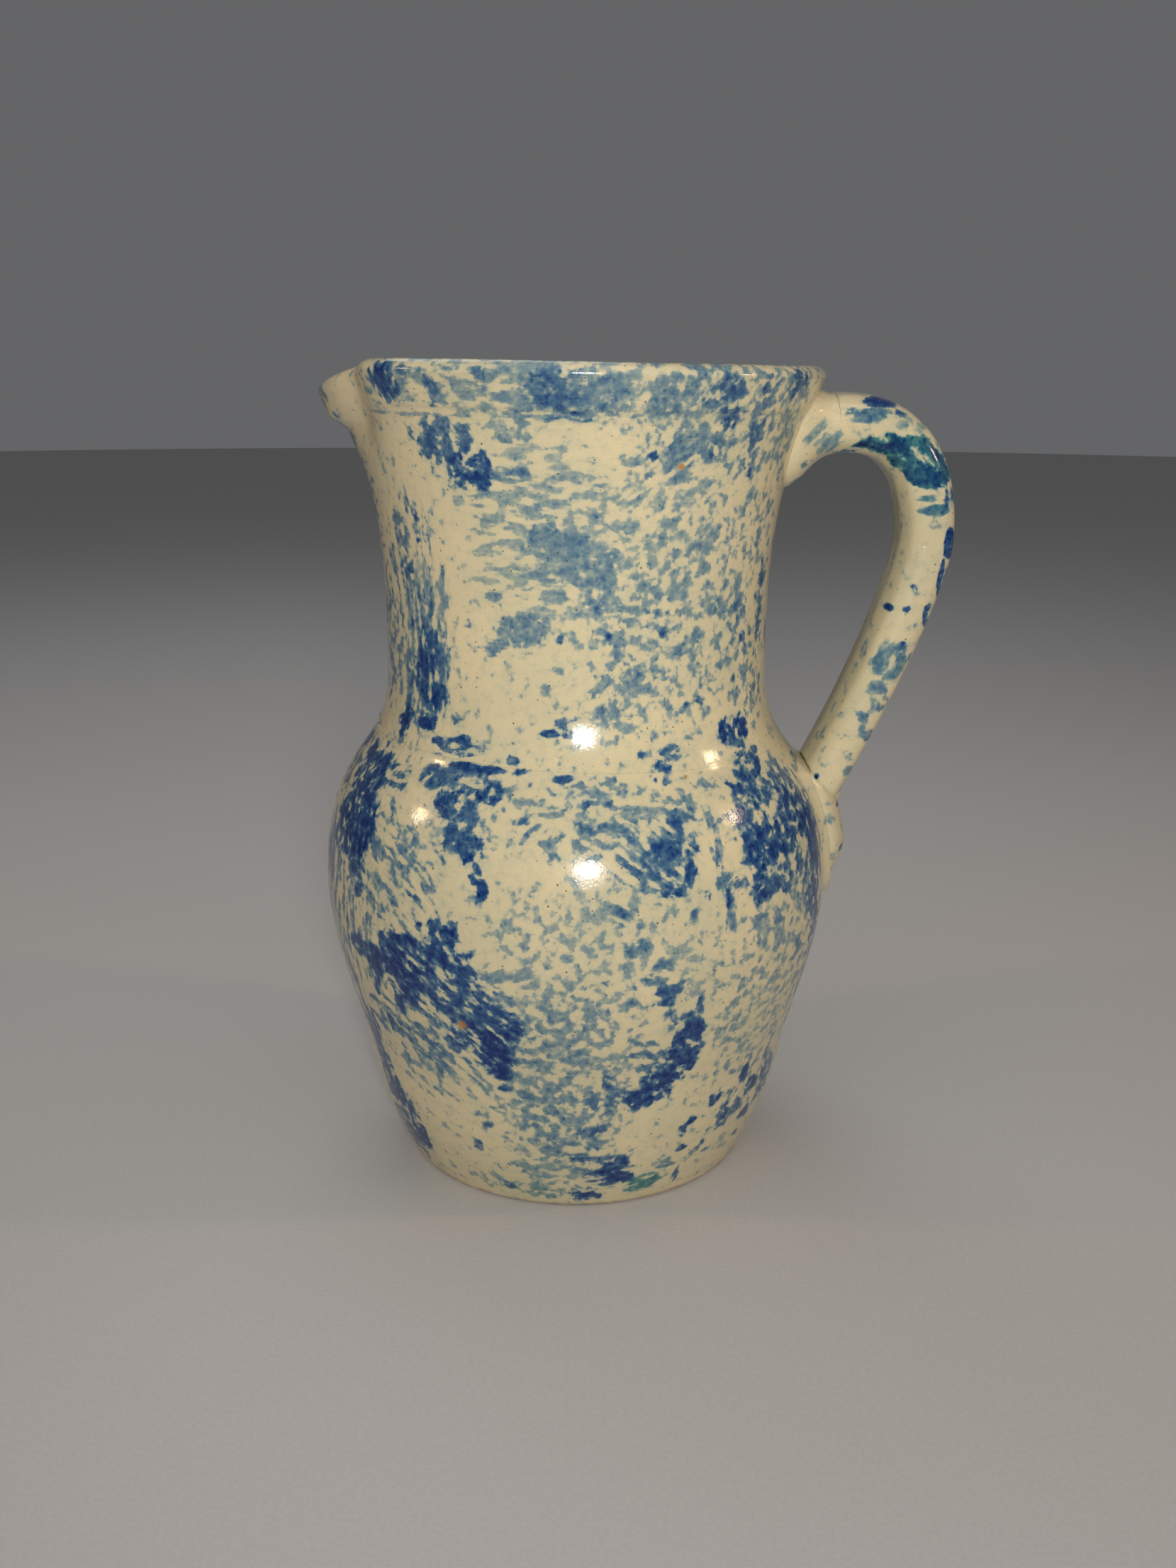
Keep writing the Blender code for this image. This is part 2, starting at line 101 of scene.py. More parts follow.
class Bench:
    """Adds nodes to one shader tree or geometry tree."""

    def __init__(self, tree: bpy.types.NodeTree) -> None:
        """Remember the tree."""
        self.tree = tree

    def plug(self, socket: bpy.types.NodeSocket, value: Any) -> None:
        """Link a wire to an input socket, or set a plain value on it.

        Args:
            socket: The input socket.
            value: A Wire, or a value that the socket takes.
        """
        if isinstance(value, Wire):
            self.tree.links.new(value.socket, socket)
        else:
            socket.default_value = value

    def add(self, kind: str, settings: Optional[dict[str, Any]] = None,
            sockets: Optional[dict[Any, Any]] = None, out: Any = 0) -> Wire:
        """Add any node.

        Args:
            kind: The node's type.
            settings: Properties to set first; "stops" is a colour ramp's list of (place, colour).
            sockets: Values or wires of its input sockets, by name or number.
            out: The output socket to return.

        Returns:
            The wire from that output.
        """
        node = self.tree.nodes.new(kind)
        for name, value in (settings or {}).items():
            if name == "stops":
                self.set_stops(node.color_ramp, value)
            else:
                setattr(node, name, value)
        for key, value in (sockets or {}).items():
            self.plug(node.inputs[key], value)
        return Wire(self, node.outputs[out])

    @staticmethod
    def set_stops(ramp: bpy.types.ColorRamp, stops: Sequence[tuple[float, Colour]]) -> None:
        """Give a colour ramp its stops.

        Args:
            ramp: The colour ramp.
            stops: Each stop's place and colour, in order.
        """
        while len(ramp.elements) < len(stops):
            ramp.elements.new(1.0)
        for element, (place, colour) in zip(ramp.elements, stops):
            element.position = place
            element.color = (*colour, 1.0)

    def maths(self, operation: str, *values: Any) -> Wire:
        """A Math node on one to three values."""
        return self.add("ShaderNodeMath", {"operation": operation}, dict(enumerate(values)))

    def vector(self, operation: str, *values: Any) -> Wire:
        """A Vector Math node that gives a vector."""
        return self.add("ShaderNodeVectorMath", {"operation": operation}, dict(enumerate(values)))

    def scaled(self, vector: Wire, factor: Any) -> Wire:
        """A vector times a number."""
        return self.add("ShaderNodeVectorMath", {"operation": "SCALE"}, {0: vector, 3: factor})

    def number(self, operation: str, first: Any, second: Any) -> Wire:
        """A Vector Math node on two vectors that gives a number."""
        return self.add("ShaderNodeVectorMath", {"operation": operation}, {0: first, 1: second}, 1)

    def split(self, vector: Wire) -> tuple[Wire, ...]:
        """The three parts of a vector."""
        node = self.add("ShaderNodeSeparateXYZ", None, {0: vector}).socket.node
        return tuple(Wire(self, socket) for socket in node.outputs)

    def place(self) -> Wire:
        """The object's own coordinates, in millimetres."""
        return self.scaled(self.add("ShaderNodeTexCoord", None, None, "Object"), 1.0 / MM)

    def step(self, value: Any, low: Any, high: Any) -> Wire:
        """A smooth step from 0 at low to 1 at high."""
        ends = {"Value": value, "From Min": low, "From Max": high}
        return self.add("ShaderNodeMapRange", {"interpolation_type": "SMOOTHSTEP"}, ends)

    def noise(self, place: Wire, size: float, detail: float = 2.0, rough: float = 0.5) -> Wire:
        """Soft noise, 0 to 1, whose features are about one size wide."""
        sockets = {"Vector": place, "Scale": 1.0 / size, "Detail": detail, "Roughness": rough}
        return self.add("ShaderNodeTexNoise", {"noise_dimensions": "3D"}, sockets)

    def blend(self, factor: Any, first: Any, second: Any, way: str = "MIX") -> Wire:
        """Mix two colours."""
        settings = {"data_type": "RGBA", "blend_type": way}
        return self.add("ShaderNodeMix", settings, {0: factor, 6: first, 7: second}, out=2)

    def ramp(self, factor: Wire, stops: Sequence[tuple[float, Colour]]) -> Wire:
        """The colour that a ramp gives a number."""
        return self.add("ShaderNodeValToRGB", {"stops": stops}, {0: factor})

    def bump(self, height: Wire) -> Wire:
        """The normal of a surface raised by a height in metres."""
        return self.add("ShaderNodeBump", None, {"Strength": 1.0, "Distance": 1.0, "Height": height})

    def recall(self, name: str, kind: str = "FLOAT") -> Wire:
        """Read a value kept on a geometry's points."""
        return self.add("GeometryNodeInputNamedAttribute", {"data_type": kind}, {"Name": name})

    def keep(self, geometry: Wire, name: str, kind: str, value: Wire) -> Wire:
        """Keep a value on a geometry's points under a name."""
        sockets = {"Geometry": geometry, "Name": name, "Value": value}
        return self.add("GeometryNodeStoreNamedAttribute", {"data_type": kind, "domain": "POINT"}, sockets)

    def set_material(self, geometry: Wire, finish: Wire, chosen: Any = True) -> Wire:
        """Give a geometry, or the chosen faces of it, a material."""
        sockets = {"Geometry": geometry, "Selection": chosen, "Material": finish}
        return self.add("GeometryNodeSetMaterial", None, sockets)

    def end(self, geometry: Wire) -> None:
        """Send a geometry to the tree's output."""
        self.plug(self.tree.nodes.new("NodeGroupOutput").inputs[0], geometry)


def open_tree(title: str, sockets: Sequence[tuple[str, str]]) -> tuple[Bench, dict[str, Wire]]:
    """Start a geometry tree with its named inputs and its one geometry output.

    Args:
        title: The tree's name.
        sockets: Each input's name and kind, after the geometry.

    Returns:
        A bench for the tree, and the wires from its inputs by name.
    """
    tree = bpy.data.node_groups.new(title, "GeometryNodeTree")
    tree.interface.new_socket("Geometry", in_out="INPUT", socket_type="NodeSocketGeometry")
    for name, kind in sockets:
        tree.interface.new_socket(name, in_out="INPUT", socket_type="NodeSocket" + kind)
    tree.interface.new_socket("Geometry", in_out="OUTPUT", socket_type="NodeSocketGeometry")
    bench = Bench(tree)
    inputs = tree.nodes.new("NodeGroupInput")
    return bench, {socket.name: Wire(bench, socket) for socket in inputs.outputs if socket.name}


def run_tree(obj: bpy.types.Object, tree: bpy.types.NodeTree, values: dict[str, Any]) -> bpy.types.Object:
    """Run a geometry tree on an object and keep its result as a plain mesh.

    Args:
        obj: The object with the tree's input geometry; it is removed.
        tree: The geometry tree.
        values: The modifier's inputs, by name.

    Returns:
        A new object of the same name that holds the plain mesh.
    """
    modifier = obj.modifiers.new(tree.name, "NODES")
    modifier.node_group = tree
    for item in tree.interface.items_tree:
        if item.in_out == "INPUT" and item.name in values:
            modifier[item.identifier] = values[item.name]
    obj.update_tag()
    bpy.context.view_layer.update()
    graph = bpy.context.evaluated_depsgraph_get()
    mesh = bpy.data.meshes.new_from_object(obj.evaluated_get(graph), depsgraph=graph)
    name = obj.name
    obj.modifiers.remove(modifier)
    bpy.data.objects.remove(obj, do_unlink=True)
    made = bpy.data.objects.new(name, mesh)
    made.name = name
    mesh.name = name
    bpy.context.scene.collection.objects.link(made)
    return made


# Finishes


def new_material(name: str) -> tuple[bpy.types.Material, Bench, bpy.types.Node]:
    """An empty node material with one Principled shader.

    Args:
        name: The material's name.

    Returns:
        The material, a bench for its tree, and the shader node.
    """
    material = bpy.data.materials.new(name)
    material.use_nodes = True
    tree = material.node_tree
    tree.nodes.clear()
    shader = tree.nodes.new("ShaderNodeBsdfPrincipled")
    out = tree.nodes.new("ShaderNodeOutputMaterial")
    tree.links.new(shader.outputs[0], out.inputs[0])
    return material, Bench(tree), shader


@dataclass(frozen=True)
class SpongedGlaze:
    """Clear glossy glaze over cream clay, with cobalt sponged on under it.

    The sponge prints come from two colour attributes on the mesh: "sponge" holds how much of the
    ground is covered, how heavy the cobalt is and how green it fired; "grain" holds how much of the
    print runs level, upright, falling or rising. Lengths are in millimetres, and each edge is where
    a smooth step starts and ends. The shifts keep noises of one kind apart. A rag is the size of the
    noise that frays an edge, and how far; peel and ripple are a size, a roughness and a height.
    """

    name: str
    cream: Colour = (0.625, 0.545, 0.358)
    stain: Colour = (0.405, 0.580, 0.845)
    green_cast: Colour = (0.72, 1.22, 0.80)
    green_from: Pair = (0.05, 0.35)
    heaviest: float = 7.2
    ramp_steps: int = 12
    print_size: float = 2.9
    print_detail: float = 2.0
    print_rough: float = 0.45
    print_contrast: float = 2.75
    drag_slope: float = math.radians(38.0)
    drawn_along: Triple = (0.56, 0.56, 1.42)
    drawn_up: Triple = (1.35, 1.35, 0.50)
    crumb_size: float = 1.4
    crumb_contrast: float = 0.75
    edge: Pair = (0.30, 0.60)
    load_curve: Pair = (0.58, 0.42)
    body_share: Triple = (0.16, 0.52, 0.38)
    mottle_size: float = 1.9
    mottle_shift: Triple = (31.0, 7.0, 3.0)
    mottle_edge: Pair = (0.25, 0.75)
    heart_edge: Pair = (0.45, 1.25)
    dot_size: float = 1.6
    dot_shift: Triple = (5.0, 17.0, 41.0)
    dot_edge: Pair = (0.58, 0.70)
    dot_share: Pair = (0.03, 0.26)
    haze_edge: Pair = (-0.2, 0.60)
    haze_share: Pair = (0.010, 0.09)
    cloud_size: float = 22.0
    cloud_tones: tuple[tuple[float, Colour], ...] = ((0.3, (0.90, 0.92, 0.90)), (0.7, (1.05, 1.02, 0.97)))
    grit_size: float = 0.55
    grit_edge: Pair = (0.62, 0.80)
    grit_share: float = 0.22
    speck_spacing: float = 2.3
    speck_share: float = 0.82
    speck_sizes: Pair = (0.10, 0.24)
    speck_edge: Pair = (0.55, 1.1)
    speck_colour: Colour = (0.030, 0.021, 0.015)
    rust: tuple[tuple[Triple, float], ...] = ()
    rust_colour: Colour = (0.36, 0.165, 0.035)
    rust_rag: Pair = (1.2, 1.6)
    rust_edge: Pair = (0.45, 1.15)
    rust_share: float = 0.85
    # The brown band along the bottom edge: its colour, the heights over which it fades out, its rag and its
    # strength.
    bottom_brown_colour: Colour = (0.23, 0.13, 0.06)
    bottom_brown_heights: Pair = (0.7, 2.6)
    bottom_brown_rag: Pair = (3.0, 1.6)
    bottom_brown_share: float = 0.75
    sheen_size: float = 6.0
    sheen_rough: float = 0.05
    grit_rough: float = 0.15
    peel: Triple = (3.4, 0.4, 0.050)
    ripple: Triple = (0.7, 0.5, 0.022)
    pit_shift: Triple = (3.0, 11.0, 19.0)
    pit_spacing: float = 1.9
    pit_sizes: Pair = (0.12, 0.22)
    pit_depth: float = 0.030
    roughness: float = 0.115
    index_of_refraction: float = 1.46

    def stain_stops(self) -> list[tuple[float, Colour]]:
        """Colours of the cream seen through more and more cobalt.

        Returns:
            The stops of a colour ramp, from no cobalt to the heaviest.
        """
        stops = []
        for step in range(self.ramp_steps):
            share = step / (self.ramp_steps - 1)
            depth = self.heaviest * share
            stops.append((share, tuple(c * t ** depth for c, t in zip(self.cream, self.stain))))
        return stops

    def print_at(self, bench: Bench, place: Wire) -> Wire:
        """The sponge's own pattern at a place."""
        return bench.noise(place, self.print_size, self.print_detail, self.print_rough)

    def streaks(self, bench: Bench, place: Wire, turn: float) -> Wire:
        """The sponge's pattern drawn out along a line that falls by an angle from the level.

        Args:
            bench: The material's bench.
            place: The place, in millimetres.
            turn: The angle.

        Returns:
            The pattern, 0 to 1.
        """
        sockets = {"Vector": place, "Angle": turn}
        spun = bench.add("ShaderNodeVectorRotate", {"rotation_type": "Y_AXIS"}, sockets)
        return self.print_at(bench, bench.vector("MULTIPLY", spun, self.drawn_along))

    def print_noise(self, bench: Bench, place: Wire, grain: Wire, rising: Wire) -> Wire:
        """The sponge's pattern, drawn out the way that each print was dragged.

        Args:
            bench: The material's bench.
            place: The place, in millimetres.
            grain: The shares of level, upright and falling marks, as a vector.
            rising: The share of rising marks.

        Returns:
            The pattern, 0 to 1.
        """
        level, upright, falling = bench.split(grain)
        round_share = (1.0 - level - upright - falling - rising).clamp()
        total = self.print_at(bench, place) * round_share
        total = total + self.streaks(bench, place, 0.0) * level
        drawn_up = bench.vector("MULTIPLY", place, self.drawn_up)
        total = total + self.print_at(bench, drawn_up) * upright
        total = total + self.streaks(bench, place, -self.drag_slope) * falling
        return total + self.streaks(bench, place, self.drag_slope) * rising

    def cobalt(self, bench: Bench, place: Wire) -> tuple[Wire, Wire]:
        """How deep the cobalt lies.

        Args:
            bench: The material's bench.
            place: The place, in millimetres.

        Returns:
            The depth from 0 to 1 of the heaviest, and the share of green in it.
        """
        sponge = bench.add("ShaderNodeAttribute", {"attribute_name": "sponge"}, None, "Vector")
        covered, load, green = bench.split(sponge)
        grain = bench.add("ShaderNodeAttribute", {"attribute_name": "grain"}, None, "Vector")
        rising = Wire(bench, grain.socket.node.outputs["Alpha"])
        pattern = self.print_noise(bench, place, grain, rising)
        crumbs = bench.noise(place, self.crumb_size, 1.0, 0.5)
        cover = covered + (pattern - 0.5) * self.print_contrast + (crumbs - 0.5) * self.crumb_contrast
        inked = bench.step(cover, *self.edge)
        mottle = bench.noise(bench.vector("ADD", place, self.mottle_shift), self.mottle_size, 3.0, 0.6)
        dots = bench.noise(bench.vector("ADD", place, self.dot_shift), self.dot_size, 1.0)
        dots = bench.step(dots, *self.dot_edge)
        heart = bench.step(cover, *self.heart_edge)
        load = load * (self.load_curve[0] + load * self.load_curve[1])
        base, mottled, hearted = self.body_share
        body = load * (base + bench.step(mottle, *self.mottle_edge) * mottled + heart * hearted)
        body = body + dots * (self.dot_share[0] + load * self.dot_share[1])
        haze = bench.step(cover, *self.haze_edge) * (self.haze_share[0] + load * self.haze_share[1])
        return (inked * body + haze).clamp(), green

    def specks(self, bench: Bench, place: Wire, spacing: float, sizes: Pair) -> Wire:
        """Round specks of uneven size.

        Args:
            bench: The material's bench.
            place: The place, in millimetres.
            spacing: How far apart the specks are.
            sizes: The smallest radius, and how much the largest adds to it.

        Returns:
            1 inside the specks and 0 outside.
        """
        sockets = {"Vector": place, "Scale": 1.0 / spacing}
        cells = bench.add("ShaderNodeTexVoronoi", {"feature": "F1"}, sockets)
        luck = bench.split(Wire(bench, cells.socket.node.outputs[1]))[0]
        size = (sizes[0] + luck * luck * sizes[1]) / spacing
        return 1.0 - bench.step(cells, size * self.speck_edge[0], size * self.speck_edge[1])

    def clay_faults(self, bench: Bench, place: Wire, colour: Wire, grit: Wire) -> Wire:
        """The clay's grit, iron specks and rust spots, and a brown band that darkens the colour towards the
        bottom edge.

        Args:
            bench: The material's bench.
            place: The place, in millimetres.
            colour: The colour without them.
            grit: Where the grit is, 0 to 1.

        Returns:
            The colour with them.
        """
        dark = (*self.speck_colour, 1.0)
        colour = bench.blend(grit * self.grit_share, colour, dark)
        iron = self.specks(bench, place, self.speck_spacing, self.speck_sizes)
        colour = bench.blend(iron * self.speck_share, colour, dark)
        for centre, radius in self.rust:
            rag = (bench.noise(place, self.rust_rag[0], 1.0) - 0.5) * self.rust_rag[1]
            gap = bench.number("DISTANCE", place, centre) + rag
            stained = 1.0 - bench.step(gap, radius * self.rust_edge[0], radius * self.rust_edge[1])
            colour = bench.blend(stained * self.rust_share, colour, (*self.rust_colour, 1.0))
        # The colour turns brown towards the bottom edge, all the way round, with a ragged top line.
        lift = bench.split(place)[2] + bench.noise(place, self.bottom_brown_rag[0], 2.0) * self.bottom_brown_rag[1]
        brown = (1.0 - bench.step(lift, *self.bottom_brown_heights)) * self.bottom_brown_share
        return bench.blend(brown, colour, (*self.bottom_brown_colour, 1.0))

    def material(self) -> bpy.types.Material:
        """Build the glaze's material.

        Returns:
            The material.
        """
        material, bench, shader = new_material(self.name)
        place = bench.place()
        depth, green = self.cobalt(bench, place)
        colour = bench.ramp(depth, self.stain_stops())
        greened = bench.blend(1.0, colour, (*self.green_cast, 1.0), "MULTIPLY")
        colour = bench.blend(green * bench.step(depth, *self.green_from), colour, greened)
        tone = bench.ramp(bench.noise(place, self.cloud_size, 2.0, 0.5), self.cloud_tones)
        colour = bench.blend(1.0, colour, tone, "MULTIPLY")
        grit = bench.step(bench.noise(place, self.grit_size, 1.0, 0.5), *self.grit_edge)
        bench.plug(shader.inputs["Base Color"], self.clay_faults(bench, place, colour, grit))
        sheen = bench.noise(place, self.sheen_size, 2.0, 0.5)
        rough = self.roughness + sheen * self.sheen_rough + grit * self.grit_rough
        bench.plug(shader.inputs["Roughness"], rough)
        bench.plug(shader.inputs["Normal"], self.skin(bench, place))
        shader.inputs["IOR"].default_value = self.index_of_refraction
        return material

    def skin(self, bench: Bench, place: Wire) -> Wire:
        """The fired skin: orange peel, finer ripple and small pits.

        Args:
            bench: The material's bench.
            place: The place, in millimetres.

        Returns:
            The surface's normal.
        """
        peel, ripple = ((bench.noise(place, size, 1.0, rough) - 0.5) * height
                        for size, rough, height in (self.peel, self.ripple))
        apart = bench.vector("ADD", place, self.pit_shift)
        pits = self.specks(bench, apart, self.pit_spacing, self.pit_sizes) * -self.pit_depth
        return bench.bump((peel + ripple + pits) * MM)


@dataclass(frozen=True)
class BareClay:
    """Unglazed fired clay of the foot: dry, sandy and a little scuffed. Lengths are in millimetres."""

    name: str
    brown: Colour = (0.34, 0.22, 0.12)
    pale: Colour = (0.52, 0.42, 0.28)
    palest: Colour = (0.60, 0.51, 0.36)
    sand_colour: Colour = (0.10, 0.06, 0.035)
    cloud_size: float = 9.0
    sand_size: float = 0.5
    sand_edge: Pair = (0.60, 0.72)
    sand_share: float = 0.6
    wire_cut_size: float = 1.6
    roughness: float = 0.82

    def material(self) -> bpy.types.Material:
        """Build the clay's material.

        Returns:
            The material.
        """
        material, bench, shader = new_material(self.name)
        place = bench.place()
        cloud = bench.noise(place, self.cloud_size, 4.0, 0.6)
        colour = bench.ramp(cloud, [(0.32, self.brown), (0.58, self.pale), (0.80, self.palest)])
        sand = bench.noise(place, self.sand_size, 2.0, 0.6)
        sanded = bench.step(sand, *self.sand_edge) * self.sand_share
        colour = bench.blend(sanded, colour, (*self.sand_colour, 1.0))
        bench.plug(shader.inputs["Base Color"], colour)
        bench.plug(shader.inputs["Roughness"], self.roughness + sand * 0.12)
        dragged = bench.vector("MULTIPLY", place, (0.10, 1.0, 1.0))
        wire_cut = bench.noise(dragged, self.wire_cut_size, 2.0, 0.5)
        bench.plug(shader.inputs["Normal"], bench.bump((sand * 0.05 + wire_cut * 0.10) * MM))
        return material


# Sponge prints


class Grain(Enum):
    """Which way a sponge print's marks run: shares of level, upright, falling and rising."""

    ROUND = (0.0, 0.0, 0.0, 0.0)
    LEVEL = (1.0, 0.0, 0.0, 0.0)
    UPRIGHT = (0.0, 1.0, 0.0, 0.0)
    FALLING = (0.0, 0.0, 1.0, 0.0)
    RISING = (0.0, 0.0, 0.0, 1.0)


class Side(Enum):
    """Which side of the handle a print is on: seen with the lip on the left, on the right, or both."""

    NEAR = -1.0
    FAR = 1.0
    BOTH = 0.0


@dataclass(frozen=True)
class Dab:
    """One touch of the sponge.

    On the body, turn and sweep are its middle and half width in degrees, counted from the front
    (-Y) towards the handle. On the handle they are lengths in millimetres along X. Height and tall
    are its middle and half height in millimetres. Lean turns it, in degrees.
    """

    turn: float
    height: float
    sweep: float
    tall: float
    load: float
    cover: float = 0.74
    grain: Grain = Grain.ROUND
    lean: float = 0.0
    green: float = 0.0
    side: Side = Side.BOTH


def dabs_of(*rows: tuple[Any, ...]) -> tuple[Dab, ...]:
    """Sponge prints from rows of their values, in the order of a dab's fields."""
    return tuple(Dab(*row) for row in rows)


ROUND, LEVEL, UPRIGHT, FALLING, RISING = Grain
NEAR, FAR = Side.NEAR, Side.FAR

RIM_DABS = dabs_of(
    (-45.5, 224, 4.6, 5, 0.85, 0.8, UPRIGHT), (-38.5, 226, 2.6, 2.2, 0.5),
    (-32, 223, 1.9, 4.2, 0.72, 0.72, UPRIGHT), (-33, 219, 1.2, 1, 0.85), (-20, 226, 1.2, 2.2, 0.7),
    (-4.5, 222.6, 6.6, 5.4, 0.6, 0.86), (-5, 223.5, 3.2, 3.2, 0.8, 0.86), (-3, 220, 5, 1.6, 0.7),
    (5.5, 221.5, 6, 5, 0.46, 0.92), (10.5, 224, 3.4, 3, 0.34, 0.7), (20, 221, 5.6, 5.6, 0.46, 0.86),
    (25, 224, 3.4, 3.4, 0.5, 0.8), (34, 223, 4.4, 3.6, 0.78, 0.74), (29.5, 220, 2.8, 2, 0.68),
    (35, 217.6, 3.4, 1, 0.85), (36.5, 215, 2.4, 1.9, 0.92, 0.84), (45, 224, 2.4, 3.2, 0.72),
    (46, 219, 2.1, 2, 0.68), (56, 224, 3.5, 3.8, 0.84, 0.8), (61, 222, 2.2, 2.2, 0.5),
    (-22, 218.2, 8, 1.8, 0.3, 0.6, LEVEL), (-12.5, 217, 4.8, 1.4, 0.58, 0.62, LEVEL),
    (-1, 216.2, 5.6, 1.3, 0.72, 0.8, LEVEL), (10.5, 216.6, 2, 0.9, 0.66),
    (25, 216, 8, 1.9, 0.34, 0.62, LEVEL),
)

